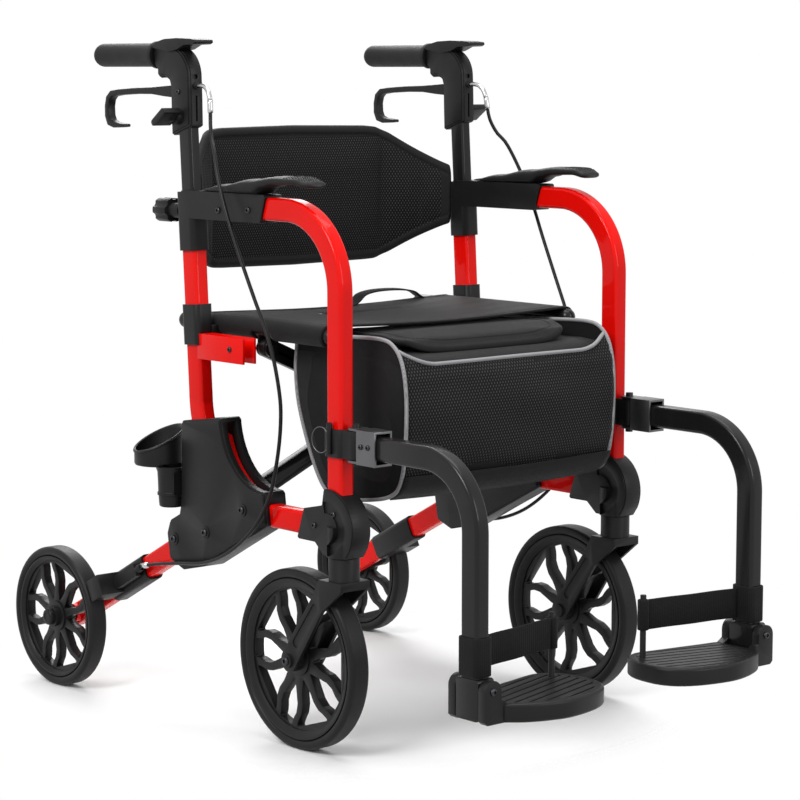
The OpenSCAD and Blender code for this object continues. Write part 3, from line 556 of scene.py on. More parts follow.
def shell(name, rows, finish, thick, skip=None):
    """A sheet over a grid of points, thickened to both sides."""
    m = len(rows[0])
    faces = []
    for i in range(len(rows) - 1):
        for j in range(m - 1):
            if skip is None or not skip(rows[i][j], rows[i + 1][j + 1]):
                faces.append((i * m + j, i * m + j + 1, (i + 1) * m + j + 1, (i + 1) * m + j))
    obj = add_mesh(name, [p for row in rows for p in row], faces, finish)
    made = bmesh.new()
    made.from_mesh(obj.data)
    bmesh.ops.delete(made, geom=[v for v in made.verts if not v.link_faces], context="VERTS")
    made.to_mesh(obj.data)
    made.free()
    solid = obj.modifiers.new("thickness", "SOLIDIFY")
    solid.thickness = thick
    solid.offset = 0
    return flatten_modifiers(obj)


def upright_band(line, low, high, thick, closed=False):
    """Points and faces of a strap that stands on edge along a plan line."""
    section = flat_section(high - low, thick)
    middle = (low + high) / 2
    rings = []
    for i, (x, y) in enumerate(line):
        a, b = neighbours(line, i, closed)
        way = Vector((b[0] - a[0], b[1] - a[1], 0)).normalized()
        out = Vector((way.y, -way.x, 0))
        rings.append([Vector((x, y, middle + across)) + out * up for across, up in section])
    if closed:
        rings.append(rings[0])
    return loft(rings, not closed)


def join(parts):
    """One set of points and faces from several."""
    points, faces = [], []
    for p, f in parts:
        faces += [tuple(i + len(points) for i in face) for face in f]
        points += list(p)
    return points, faces


# Repeated fittings, made with geometry nodes


def socket_id(tree, name):
    return next(i.identifier for i in tree.interface.items_tree if i.name == name and i.in_out == "INPUT")


def repeat_tree(name, axis, along_lines):
    """Group that sets a shape on points, or at even steps along lines, turned the way these go."""
    g = Group(name, ("Pitch", "Float"), ("Size", "Float"), ("Shape", "Object"), ("Finish", "Material"))
    pitch, size, shape, finish = (g.start.beside(key) for key in ("Pitch", "Size", "Shape", "Finish"))
    if along_lines:
        line = g.node("GeometryNodeMeshToCurve", {}, {0: g.start})
        points = g.node("GeometryNodeCurveToPoints", {"mode": "LENGTH"}, {"Curve": line, "Length": pitch})
        way = points.beside("Tangent")
    else:
        points = g.start
        way = g.node("GeometryNodeInputNamedAttribute", {"data_type": "FLOAT_VECTOR"}, {0: "aim"})
    turn = g.node("FunctionNodeAlignRotationToVector", {"axis": axis}, {"Vector": way})
    source = g.node("GeometryNodeObjectInfo", {}, {"Object": shape}, "Geometry")
    lay = g.node("GeometryNodeInstanceOnPoints", {}, {"Points": points, "Instance": source, "Rotation": turn,
                                                      "Scale": size})
    real = g.node("GeometryNodeRealizeInstances", {}, {0: lay})
    return g.close(g.node("GeometryNodeSetMaterial", {}, {"Geometry": real, "Material": finish}))


def settle(name, seed, tree, values):
    """Runs the group on a seed mesh and keeps the outcome as a plain mesh object."""
    seed_obj = link_new(name + "_seed", seed)
    nodes = seed_obj.modifiers.new("repeat", "NODES")
    nodes.node_group = tree
    for key, value in values.items():
        nodes[socket_id(tree, key)] = value
    mesh = evaluated_mesh(seed_obj)
    mesh.name = name
    bpy.data.objects.remove(seed_obj)
    return link_new(name, mesh)


def screw_head():
    """A pan head of unit diameter with a hex recess, standing on z = 0."""
    sides = 18
    rings = turned([(0.5, -0.05), (0.5, 0.12), (0.46, 0.22), (0.38, 0.29), (0.27, 0.32)], sides)
    for radius, z in ((0.216, 0.32), (0.207, 0.14)):
        recess = circle(radius, z, sides)
        for i, p in enumerate(recess):
            p.xy = p.xy / math.cos(math.radians((i * 360 / sides + 30) % 60 - 30))
        rings.append(recess)
    return add_mesh("screw_head_source", *loft(rings), "dark_steel", 35)


def dot_source():
    """A low dome of unit diameter, standing on z = 0."""
    dome = turned([(0.5, -0.2), (0.48, 0.1), (0.36, 0.24), (0.16, 0.31)], 8)
    return add_mesh("dot_source", *loft(dome), "rubber")


def stitch_source():
    """A capsule of unit length along X."""
    upright = turned([(0.03, -0.5), (0.10, -0.42), (0.14, -0.2), (0.14, 0.2), (0.10, 0.42), (0.03, 0.5)], 6)
    return add_mesh("stitch_source", *loft([[p.zxy for p in ring] for ring in upright]), "thread")


TOOLS = {}


def fittings():
    """The shared node groups and source shapes of screws, dots and stitches."""
    if not TOOLS:
        TOOLS.update(heads=repeat_tree("screw_heads", "Z", False), rows=repeat_tree("stitch_rows", "X", True),
                     head=screw_head(), stitch=stitch_source(), dot=dot_source())
    return TOOLS


def clear_fittings():
    """Removes the source shapes, which aren't part of the object."""
    for key in ("head", "stitch", "dot"):
        if key in TOOLS:
            bpy.data.objects.remove(TOOLS[key])
    TOOLS.clear()


def screws(name, body, spots, diameter, finish="dark_steel", shape="head"):
    """Screw heads, or another shape, at (place, direction) pairs on one body."""
    tools = fittings()
    seed = bpy.data.meshes.new(name)
    seed.from_pydata([place for place, _ in spots], [], [])
    aim = seed.attributes.new("aim", "FLOAT_VECTOR", "POINT")
    for i, (_, way) in enumerate(spots):
        aim.data[i].vector = way
    obj = settle(name, seed, tools["heads"], {"Size": diameter, "Shape": tools[shape],
                                              "Finish": FINISHES[finish]})
    smooth(obj.data, 35)
    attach(obj, body)


def stitches(name, lines):
    """Stitches along lines of points, as cloth."""
    tools = fittings()
    length = bpy.context.scene.rollator_sizes.stitch
    points, edges = [], []
    for line in lines:
        start = len(points)
        points += [tuple(p) for p in line]
        edges += [(start + i, start + i + 1) for i in range(len(line) - 1)]
    seed = bpy.data.meshes.new(name)
    seed.from_pydata(points, edges, [])
    obj = settle(name, seed, tools["rows"], {"Pitch": length * 1.45, "Size": length, "Shape": tools["stitch"],
                                             "Finish": FINISHES["thread"]})
    smooth(obj.data)
    return obj


# Stage

LENS_MM = 118
SENSOR_MM = 36
CAMERA_PLACE = (2.7217, -2.3273, 0.8801)
CAMERA_TILT = math.radians(82.79)
CAMERA_TURN = math.radians(49.31)
WHITE = (1, 1, 1, 1)
SKY_LIGHT = 0.42
FLOOR = [(-2, -2, 0), (2, -2, 0), (2, 2, 0), (-2, 2, 0)]
FLOOR_MIDDLE = (-0.12, 0, 0)
FLOOR_FADE = (0.40, 0.54)
LAMP_TARGET = Vector((0.05, 0, 0.45))
# Name, place, size in metres and power in watts
LAMPS = (("key_light", (0.6, -3.0, 2.7), 1.5, 88), ("fill_light", (3.4, 0.9, 1.7), 1.6, 40),
         ("top_light", (-0.1, 0.2, 3.2), 2.4, 62), ("back_light", (-2.6, 1.4, 2.3), 1.6, 40))


def set_camera(scene):
    lens = bpy.data.cameras.new("photo_camera")
    lens.lens = LENS_MM
    lens.sensor_width = SENSOR_MM
    camera = link_new("photo_camera", lens)
    camera.location = CAMERA_PLACE
    camera.rotation_euler = (CAMERA_TILT, 0, CAMERA_TURN)
    scene.camera = camera


def set_world(scene):
    """White for the camera and for reflections, and a dimmer white as light."""
    scene.world = bpy.data.worlds.new("studio")
    scene.world.use_nodes = True
    net = Net(scene.world.node_tree)
    sky = net.tree.nodes["Background"]
    net.feed(WHITE, sky.inputs[0])
    net.feed(SKY_LIGHT, sky.inputs[1])
    white = net.node("ShaderNodeBackground", {}, {0: WHITE, 1: 1.0})
    ray = net.node("ShaderNodeLightPath", out="Is Camera Ray")
    seen = ray.larger(ray.beside("Is Glossy Ray")).larger(ray.beside("Is Transmission Ray"))
    choose = net.node("ShaderNodeMixShader", {}, {0: seen, 1: Tone(net, sky.outputs[0]), 2: white})
    net.feed(choose, net.tree.nodes["World Output"].inputs[0])


def pale_floor():
    """A floor that catches the shadows and fades out round the chair."""
    f = Finish("pale_floor", (0.93, 0.93, 0.93), 0.7, specular_ior_level=0.1)
    place = f.node("ShaderNodeVectorMath", {"operation": "SUBTRACT"}, {0: f.place(), 1: FLOOR_MIDDLE})
    away = f.node("ShaderNodeVectorMath", {"operation": "LENGTH"}, {0: place}, "Value")
    f.set("Alpha", f.ease(away, *FLOOR_FADE, 1.0, 0.0))
    mesh = bpy.data.meshes.new("floor")
    mesh.from_pydata(FLOOR, [], [(0, 1, 2, 3)])
    mesh.materials.append(f.material)
    return link_new("floor", mesh)


def lamp(name, place, size, power):
    light = bpy.data.lights.new(name, "AREA")
    light.size = size
    light.energy = power
    made = link_new(name, light)
    made.location = place
    made.rotation_euler = (LAMP_TARGET - Vector(place)).to_track_quat("-Z", "Y").to_euler()
    return made


class ROLLATOR_OT_stage(bpy.types.Operator):
    """Sets the camera, the pale floor and the studio light"""

    bl_idname = "rollator.stage"
    bl_label = "Stage"

    def execute(self, context):
        context.scene.view_settings.view_transform = "Standard"
        set_camera(context.scene)
        set_world(context.scene)
        pale_floor()
        [lamp(*row) for row in LAMPS]
        return {"FINISHED"}


# Rigid pieces

KINDS_BY_FINISH = {
    "paint": ("front_arch", "rear_post", "rear_leg"),
    "plastic": ("gusset", "arm_bracket", "caster_hub", "seat_saddle", "wheel_brake", "handle_housing",
                "brake_lever", "height_knob", "caster_fork", "foot_clamp", "footplate", "cane_holder"),
    "rubber": ("arm_pad", "grip"),
    "metal": ("handle_tube", "foot_tube", "seat_rail", "rising_brace", "falling_brace"),
    "rim": ("rear_rim", "front_rim"),
    "tyre": ("rear_tyre", "front_tyre"),
    "steel": ("foot_bracket",),
    "webbing": ("heel_strap",),
    "sheath": ("brake_cable",),
    "seat": ("seat_sling",),
    "bag": ("under_seat_bag",),
    "back": ("backrest",),
}
PLAIN_FINISH = {kind: finish for finish, kinds in KINDS_BY_FINISH.items() for kind in kinds}
# Rounding of a kind's edges as a share of the size setting, where it isn't 1
EDGE_SHARE = {
    "footplate": 1.5, "front_rim": 1.5, "gusset": 1.3, "rear_rim": 1.3, "caster_hub": 1.2, "rear_post": 0.8,
    "rising_brace": 0.8, "falling_brace": 0.8, "foot_tube": 0.7, "foot_bracket": 0.4, "front_tyre": 0,
    "rear_tyre": 0, "front_arch": 0, "rear_leg": 0, "handle_tube": 0, "seat_rail": 0,
}
WELD_GAP = 0.00001
EDGE_LIMIT = math.radians(38)
SHADE_LIMIT = math.radians(32)
SHADE_LIMITS = {"footplate": math.radians(50)}


def shading_tree():
    """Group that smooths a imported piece's faces and keeps edges sharper than the limit."""
    g = Group("shading_by_angle", ("Limit", "Float"))
    plain = g.node("GeometryNodeRemoveAttribute", {}, {"Geometry": g.start, "Name": "custom_normal"})
    faces = g.node("GeometryNodeSetShadeSmooth", {}, {"Geometry": plain})
    angle = g.node("GeometryNodeInputMeshEdgeAngle", out="Unsigned Angle")
    limit = g.start.beside("Limit")
    sharp = g.node("FunctionNodeCompare", {"operation": "GREATER_THAN"}, {"A": angle, "B": limit})
    return g.close(g.node("GeometryNodeSetShadeSmooth", {"domain": "EDGE"},
                          {"Geometry": faces, "Selection": sharp, "Shade Smooth": False}))


class ROLLATOR_OT_frame(bpy.types.Operator):
    """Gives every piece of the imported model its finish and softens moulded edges"""

    bl_idname = "rollator.frame"
    bl_label = "Rigid pieces"

    def execute(self, context):
        edge = context.scene.rollator_sizes.edge
        shading = shading_tree()
        for name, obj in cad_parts.items():
            kind = name.removeprefix("right_").removeprefix("left_")
            obj.data.materials.clear()
            obj.data.materials.append(FINISHES[PLAIN_FINISH[kind]])
            weld = obj.modifiers.new("joined_faces", "WELD")
            weld.merge_threshold = WELD_GAP
            share = EDGE_SHARE.get(kind, 1)
            if share:
                bevel = obj.modifiers.new("moulded_edge", "BEVEL")
                bevel.width = edge * share
                bevel.segments = 2
                bevel.limit_method = "ANGLE"
                bevel.angle_limit = EDGE_LIMIT
            shaded = obj.modifiers.new("shading", "NODES")
            shaded.node_group = shading
            shaded[socket_id(shading, "Limit")] = SHADE_LIMITS.get(kind, SHADE_LIMIT)
        return {"FINISHED"}


# Cables

CABLE_STEP = 0.008
# Name, stretch of the route, step and radius as a share of the cable's diameter
CABLE_METAL = (("elbow", slice(0, 5), 0.003, 0.66), ("ferrule", slice(4, 6), 0.004, 0.74))
CABLE_METAL_SIDES = 16
STOP_SHARE = 0.8
STOP_ENDS = (-0.002, 0.014)


class ROLLATOR_OT_cables(bpy.types.Operator):
    """Runs the two brake cables from the handles to the wheel brakes"""

    bl_idname = "rollator.cables"
    bl_label = "Brake cables"

    def execute(self, context):
        size = context.scene.rollator_sizes.cable
        for side, sign in SIDES:
            route = mirrored(CABLE_ROUTE, sign)
            line, length = smooth_path(route, CABLE_STEP)
            cable = tube(side + "_cable", line, size / 2, "sheath")
            metal = []
            for name, stretch, step, share in CABLE_METAL:
                bend, _ = smooth_path(route[stretch], step)
                metal.append(tube(side + "_cable_" + name, bend, size * share, "bright", CABLE_METAL_SIDES))
            before, end = Vector(route[-2]), Vector(route[-1])
            way = (before - end).normalized()
            stop = tube(side + "_cable_stop", [end + way * d for d in STOP_ENDS], size * STOP_SHARE, "bright",
                        CABLE_METAL_SIDES)
            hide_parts(side + "_brake_cable")
            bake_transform(cable)
            for piece in metal:
                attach(piece, side + "_handle")
            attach(stop, side + "_frame")
        return {"FINISHED"}


# Seat

SEAT_X = -0.132
SEAT_DEEP = 0.254
SEAT_STEPS = 64
SEAT_T = 0.0025
SEAT_GAP = 0.0003
SEAT_SAG = 0.005
SEAT_DIP = 0.0035
SLEEVE_STEPS = 27
# The slit in the cloth, with a rivet past each end and a row of stitches on each side
SLIT_X = -0.070
SLIT_ENDS = (-0.067, 0.086)
RIVET_Y = (-0.071, 0.090)
RIVET = [(0.0036, 0.5427), (0.0036, 0.5452), (0.0028, 0.5460), (0.0012, 0.5463)]
HEM_X = (("front", 0.1185), ("rear", -0.1285))
HEM_SIZE = (0.0085, 0.0038)
# Rows of stitches as x and the range of y
SEAMS = ((0.1085, -0.205, 0.205), (-0.1185, -0.205, 0.205), (SLIT_X + 0.006, -0.07, 0.089),
         (SLIT_X - 0.006, -0.07, 0.089))
SEAM_LIFT = 0.0016
# The pull strap's arch at the rear hem as (y, z)
PULL_STRAP = [(0.018, 0.5470), (0.032, 0.5485), (0.043, 0.5540), (0.054, 0.5610), (0.074, 0.5645),
              (0.101, 0.5655), (0.128, 0.5645), (0.148, 0.5610), (0.159, 0.5540), (0.170, 0.5488),
              (0.184, 0.5475)]
PULL_X = -0.126
PULL_BOW = 0.010
PULL_SIZE = (0.020, 0.0022)
# Middles of the gaps in the sleeves, where the braces meet the rails, and half a gap's length
SLEEVE_GAP = {"right": -0.006, "left": -0.022}
SLEEVE_GAP_HALF = 0.020


def sling_line():
    """The seat cloth's middle line round both rails, seen along X, as (y, z)."""
    r = RAIL_R + SEAT_GAP + SEAT_T / 2
    turn = [math.radians(-10 - 260 * i / (SLEEVE_STEPS - 1)) for i in range(SLEEVE_STEPS)]
    wrap = [(-RAIL_Y + r * math.cos(a), SEAT_Z + r * math.sin(a)) for a in turn]
    top = []
    for i in range(1, SEAT_STEPS):
        y = -RAIL_Y + 2 * RAIL_Y * i / SEAT_STEPS
        top.append((y, SEAT_Z + r - SEAT_SAG * (1 - (y / RAIL_Y) ** 2) ** 1.5))
    return wrap + top + [(-y, z) for y, z in reversed(wrap)]


def seat_dip(x, y, reach=RAIL_Y):
    """How far the middle of the cloth hangs below its line at the front and rear edges."""
    along = 2 * (x - SEAT_X) / SEAT_DEEP - 1
    return SEAT_DIP * max(0.0, 1 - (y / reach) ** 2) * (1 - along ** 2)


def seat_row(x, line):
    """Points of the cloth across the seat at x, with its soft waves and the groove of the slit."""
    row = []
    reach = RAIL_Y - 0.004
    for y, z in line:
        if z > SEAT_Z + 0.004:
            share = max(0.0, 1 - (y / reach) ** 2)
            z += 0.0012 * math.sin(x * 150 + 7 * y) * share * (1 - share)
            z += 0.0006 * math.sin(y * 31 + 40 * x * y) * share - seat_dip(x, y, reach)
            if SLIT_ENDS[0] < y < SLIT_ENDS[1]:
                z -= 0.0013 * math.exp(-((x - SLIT_X) / 0.0026) ** 2)
        row.append((x, y, z))
    return row


def seat_sleeve(side, rows):
    """A sleeve round one rail, open where the brace meets the rail."""
    def open_at(a, b):
        below = max(a[2], b[2]) < SEAT_Z
        return below and abs((a[0] + b[0]) / 2 - SLEEVE_GAP[side]) < SLEEVE_GAP_HALF

    sleeve = shell(side + "_seat_sleeve", rows, "seat", SEAT_T, open_at)
    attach(sleeve, side + "_rail")


class ROLLATOR_OT_seat(bpy.types.Operator):
    """Hangs the seat cloth over the two seat rails, with its hems, seam and pull strap"""

    bl_idname = "rollator.seat"
    bl_label = "Seat cloth"

    def execute(self, context):
        line = sling_line()
        first, last = SLEEVE_STEPS - 1, len(line) - SLEEVE_STEPS + 1
        rows = [seat_row(SEAT_X + SEAT_DEEP * i / SEAT_STEPS, line) for i in range(SEAT_STEPS + 1)]
        cloth = shell("seat_cloth", [row[first:last] for row in rows], "seat", SEAT_T)
        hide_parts("seat_sling")
        seat_sleeve("right", [row[:first + 1] for row in rows])
        seat_sleeve("left", [row[last - 1:] for row in rows])
        top = line[first:last]
        pieces = []
        for name, x in HEM_X:
            hem = [Vector((x, y, z - seat_dip(x, y))) for y, z in top]
            pieces.append(strap("seat_hem_" + name, hem, *HEM_SIZE, "seat"))
        start, end = PULL_STRAP[0][0], PULL_STRAP[-1][0]
        arch, _ = smooth_path([(PULL_X - PULL_BOW * math.sin(math.pi * (y - start) / (end - start)), y, z)
                               for y, z in PULL_STRAP], 0.004)
        pieces.append(strap("seat_pull_strap", arch, *PULL_SIZE, "webbing"))
        seams = []
        for x, low, high in SEAMS:
            seams.append([Vector((x, y, z + SEAM_LIFT - seat_dip(x, y))) for y, z in top if low < y < high])
        pieces.append(stitches("seat_stitches", seams))
        for y in RIVET_Y:
            pieces.append(add_mesh("seat_rivet", *loft(turned(RIVET, 16, (SLIT_X, y))), "steel"))
        for piece in [cloth] + pieces:
            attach(piece, "right_rail")
            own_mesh(piece)
        return {"FINISHED"}


# Bag

BAG_Y = 0.186
NET_T = 0.0012
BAND_T = 0.0018
PIPING_R = 0.0026
BINDING_R = 0.0027
# Outlines of the body and of the side panels as (x, z)
BAG_EDGE = [(0.022, 0.514), (0.020, 0.480), (0.026, 0.440), (0.044, 0.392), (0.066, 0.350), (0.086, 0.330),
            (0.110, 0.324), (0.160, 0.328), (0.206, 0.338), (0.228, 0.356), (0.238, 0.400), (0.241, 0.450),
            (0.239, 0.488), (0.231, 0.505), (0.214, 0.514), (0.188, 0.517)]
BAG_PANEL = [(0.024, 0.528), (0.034, 0.5335), (0.120, 0.5365), (0.190, 0.5385), (0.218, 0.531),
             (0.235, 0.508), (0.2425, 0.465), (0.2405, 0.402), (0.2310, 0.357), (0.209, 0.3375),
             (0.160, 0.3275), (0.111, 0.3235), (0.085, 0.3295), (0.065, 0.3500), (0.043, 0.3920),
             (0.025, 0.4400), (0.019, 0.4810), (0.0205, 0.5100)]
# Fronts of the net pocket and of the hem band below it as (z, x), and the lid's top as (x, z)
NET_LOW = 0.352
NET_HIGH = 0.5065
NET_FRONT = [(0.352, 0.2285), (0.400, 0.2395), (0.450, 0.2425), (0.490, 0.2395), (0.508, 0.2325),
             (0.526, 0.2220)]
BAND_FRONT = [(0.334, 0.2045), (0.342, 0.2165), (0.350, 0.2265), (0.358, 0.2315), (0.366, 0.2345)]
LID_TOP = [(0.020, 0.5290), (0.058, 0.5385), (0.150, 0.5400), (0.186, 0.5345), (0.206, 0.5215)]
LID_X = 0.112
LID_HALF = (0.092, 0.157)
LID_POINTS = 72
# Rings of the lid as (share of its outline, drop below its top): two quilted welts and a thick edge
LID_RINGS = [(0.02, 0), (0.25, 0), (0.5, 0), (0.72, 0), (0.86, 0.0002), (0.90, 0.0011), (0.925, 0.0003),
             (0.955, 0.0012), (0.975, 0.0002), (0.992, 0.0016), (1.0, 0.0042), (0.996, 0.0070),
             (0.98, 0.0085), (0.8, 0.0085), (0.4, 0.0085), (0.02, 0.0085)]
LID_SEAM = 0.885
TAB_X = (0.060, 0.100)
TAB_SIZE = (0.020, 0.002)
# A tab's line as (distance out from the bag's side, z)
TAB_LINE = ((-0.001, 0.520), (0.006, 0.5275), (0.0125, 0.5300))


def signed_power(value, power):
    return math.copysign(abs(value) ** power, value)


def ramp(value, start, length):
    """0 before the start, 1 past the length, straight between."""
    return max(0, min(1, (value - start) / length))


def spread(columns):
    """Even steps from -1 to 1, with so many on each side of the middle."""
    return [i / columns - 1 for i in range(2 * columns + 1)]


def bag_body():
    """The cloth body, drawn in at its ends, with a slight belly at its front and underside."""
    edge, _ = smooth_path([(x, 0, z) for x, z in BAG_EDGE], 0.009)
    middle = Vector((0.13, 0, 0.44))
    end = (0.9, 0.955, 0.985, 1)
    rings = []
    for t in [-t for t in reversed(end)] + [i / 10 for i in range(-8, 9)] + list(end):
        inset = 0.004 * max(0, (abs(t) - 0.955) / 0.045) ** 2
        belly = 1 - t * t
        ring = []
        for p in edge:
            inward = (middle - p).normalized() * inset
            front = ramp(p.x, 0.2, 0.03)
            sway = 0.0012 * math.sin(9 * t + 60 * p.z)
            ring.append(Vector((p.x + inward.x + (0.003 * belly + sway) * front, t * BAG_Y,
                                p.z + inward.z - 0.004 * ramp(-p.z, -0.42, 0.09) * belly)))
        rings.append(ring)
    return add_mesh("bag_body", *loft(rings), "bag", 60)


def bag_side(sign):
    """The grey piping round one side and the panel inside it."""
    border = BAG_PANEL[-2:] + BAG_PANEL + BAG_PANEL[:3]
    run, _ = smooth_path([(x, 0, z) for x, z in border], 0.0045)
    start = Vector((BAG_PANEL[0][0], 0, BAG_PANEL[0][1]))
    away = [(p - start).length for p in run]
    first = min(range(len(run) // 3), key=lambda i: away[i])
    last = min(range(2 * len(run) // 3, len(run)), key=lambda i: away[i])
    y = sign * (BAG_Y - 0.001)
    loop = [Vector((p.x, y, p.z)) for p in run[first:last]]
    piping = add_mesh("bag_piping", *hoop(loop, round_section(PIPING_R, 10)), "piping")
    middle = Vector((0.130, y, 0.435))
    rings = []
    for share in (1.0, 0.97, 0.9, 0.8, 0.65, 0.5, 0.35, 0.2, 0.08, 0.01):
        ring = [middle.lerp(p, share) for p in loop]
        swell = 1 - share ** 2
        for q in ring:
            q.y += sign * (0.0042 * swell - 0.0006 + 0.0010 * math.sin(46 * q.x + 30 * q.z) * swell)
        rings.append(ring)
    return [piping, add_mesh("bag_side_panel", *loft(rings), "bag", 50)]


def bag_net():
    """The net pocket over the front, which rises to the corners, and its bound upper edge."""
    steps = 24
    rows = []
    for t in spread(24):
        belly = 1 - t * t
        high = NET_HIGH + 0.0185 * max(0, (abs(t) - 0.70) / 0.30) ** 1.8
        row = []
        for k in range(steps + 1):
            z = NET_LOW + (high - NET_LOW) * k / steps
            bulge = 0.006 * belly * math.sin(math.pi * min(1, (z - NET_LOW) / 0.155)) + 0.0022
            ripple = 0.0012 * math.sin(5 * t + 70 * z) * belly
            row.append((between(NET_FRONT, z) + bulge + ripple, t * (BAG_Y - 0.003), z))
        rows.append(row)
    pocket = shell("bag_net_pocket", rows, "net", NET_T)
    rim = [Vector(row[-1]) + Vector((0.0004, 0, 0)) for row in rows]
    return [pocket, tube("bag_net_binding", rim, BINDING_R, "piping", 10)]


def lid_ring(share, drop):
    """The lid's outline, rounder at its front, shrunk by a share and laid below the lid's top."""
    ring = []
    for i in range(LID_POINTS):
        a = math.tau * i / LID_POINTS
        c, s = math.cos(a), math.sin(a)
        x = LID_X + LID_HALF[0] * signed_power(c, 0.42 if c > 0 else 0.12) * share
        ring.append(Vector((x, LID_HALF[1] * signed_power(s, 0.40) * share, between(LID_TOP, x) - drop)))
    return ring


def bag_lid():
    """The lid flap with its quilted border and a row of stitches."""
    lid = add_mesh("bag_lid", *loft([lid_ring(*row) for row in LID_RINGS]), "lid")
    seam = lid_ring(LID_SEAM, -0.0002)
    return [lid, stitches("bag_stitches", [seam + seam[:1]])]


def bag_band():
    """The hem band under the net pocket."""
    rows = []
    for z, x in BAND_FRONT:
        row = []
        for t in spread(20):
            belly = 1 - t * t
            row.append((x + 0.0045 + 0.0028 * belly, t * (BAG_Y - 0.002), z - 0.003 * belly))
        rows.append(row)
    return shell("bag_hem_band", rows, "bag", BAND_T)


def bag_tab(x, sign):
    """A webbing tab that hangs the bag from a seat rail."""
    line = [Vector((x, sign * (BAG_Y + out), z)) for out, z in TAB_LINE]
    return strap("bag_tab", line, *TAB_SIZE, "webbing")


class ROLLATOR_OT_bag(bpy.types.Operator):
    """Builds the bag under the seat: cloth body, net pocket, lid flap and grey piping"""

    bl_idname = "rollator.bag"
    bl_label = "Under-seat bag"

    def execute(self, context):
        body = bag_body()
        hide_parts("under_seat_bag")
        pieces = [body, *bag_side(-1), *bag_side(1), *bag_net(), *bag_lid(), bag_band()]
        pieces += [bag_tab(x, sign) for sign in (-1, 1) for x in TAB_X]
        for piece in pieces:
            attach(piece, "right_rail")
            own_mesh(piece)
        return {"FINISHED"}


# Backrest

# Half of its plan as (x, y), then its half thickness, top and underside by the distance from the middle
BACK_PLAN = [(-0.1340, -0.2265), (-0.1500, -0.2180), (-0.1790, -0.1955), (-0.2040, -0.1680),
             (-0.2160, -0.1480), (-0.2195, -0.1000), (-0.2215, -0.0500), (-0.2220, 0.0)]
BACK_THICK = [(0.0, 0.0105), (0.146, 0.0098), (0.168, 0.0060), (0.195, 0.0055), (0.2265, 0.0036)]
BACK_HIGH = [(0.0, 0.8000), (0.130, 0.7980), (0.150, 0.7960), (0.166, 0.7880), (0.234, 0.7340)]
BACK_LOW = [(0.0, 0.6010), (0.130, 0.6030), (0.148, 0.6040), (0.166, 0.6130), (0.234, 0.6620)]
# Distances of the first rows of points from the edge, and which of them is the seam
BACK_STEPS = (0.0, 0.0012, 0.0034, 0.0065, 0.0105, 0.0130, 0.0155, 0.0200, 0.0270, 0.0360)
BACK_SEAM = 5
BACK_ROWS = 20
BACK_HELD_ENDS = 3
CLOTH_FRAMES = 20
CLOTH_REACH = 0.006
CLOTH_SETTINGS = {"vertex_group_mass": "sewn", "quality": 5, "mass": 0.2, "use_pressure": True,
                  "uniform_pressure_force": 4, "tension_stiffness": 12, "compression_stiffness": 12,
                  "shear_stiffness": 5, "bending_stiffness": 0.4}


def back_ring(p, front, reach):
    """One section of the pad at a plan point, and the numbers of its points that are sewn."""
    low, high, thick = (between(table, reach, False) for table in (BACK_LOW, BACK_HIGH, BACK_THICK))
    inner = BACK_STEPS[-1]
    up = [low + d for d in BACK_STEPS]
    up += [low + inner + (high - low - 2 * inner) * k / BACK_ROWS for k in range(1, BACK_ROWS)]
    up += [high - d for d in reversed(BACK_STEPS)]
    ring, sewn = [], []
    for face, heights in ((1, up), (-1, up[::-1])):
        for z in heights:
            near = min(z - low, high - z)
            depth = thick * min(1.0, 0.30 + 0.70 * math.sqrt(min(1.0, near / 0.0075)))
            if face > 0 and abs(near - BACK_STEPS[BACK_SEAM]) < 0.0015:
                depth -= min(0.0022, thick * 0.3)
                sewn.append(len(ring))
            elif face < 0 and near < 0.002:
                sewn.append(len(ring))
            ring.append(p + front * face * depth + Vector((0, 0, z)))
    return ring, sewn


def unroll(pad, line, count):
    """Stores each point's place along the plan line and its height, for the net's pattern."""
    along = [0.0]
    for a, b in zip(line, line[1:]):
        along.append(along[-1] + (b - a).length)
    layer = pad.data.uv_layers.new(name="unrolled")
    for corner in pad.data.loops:
        spot = corner.vertex_index
        layer.data[corner.index].uv = (along[spot // count], pad.data.vertices[spot].co.z)


def inflate(pad, sewn):
    """Blows the pad up as cloth that is held at its seams and ends, within a few millimetres."""
    scene = bpy.context.scene
    still = [v.co.copy() for v in pad.data.vertices]
    pad.vertex_groups.new(name="sewn").add(sorted(sewn), 1.0, "REPLACE")
    cloth = pad.modifiers.new("cloth", "CLOTH")
    for key, value in CLOTH_SETTINGS.items():
        setattr(cloth.settings, key, value)
    cloth.settings.effector_weights.gravity = 0
    cloth.point_cache.frame_start = 1
    cloth.point_cache.frame_end = CLOTH_FRAMES
    for moment in range(1, CLOTH_FRAMES + 1):
        scene.frame_set(moment)
    flatten_modifiers(pad)
    scene.frame_set(1)
    for v, was in zip(pad.data.vertices, still):
        move = v.co - was
        if move.length > CLOTH_REACH:
            v.co = was + move.normalized() * CLOTH_REACH


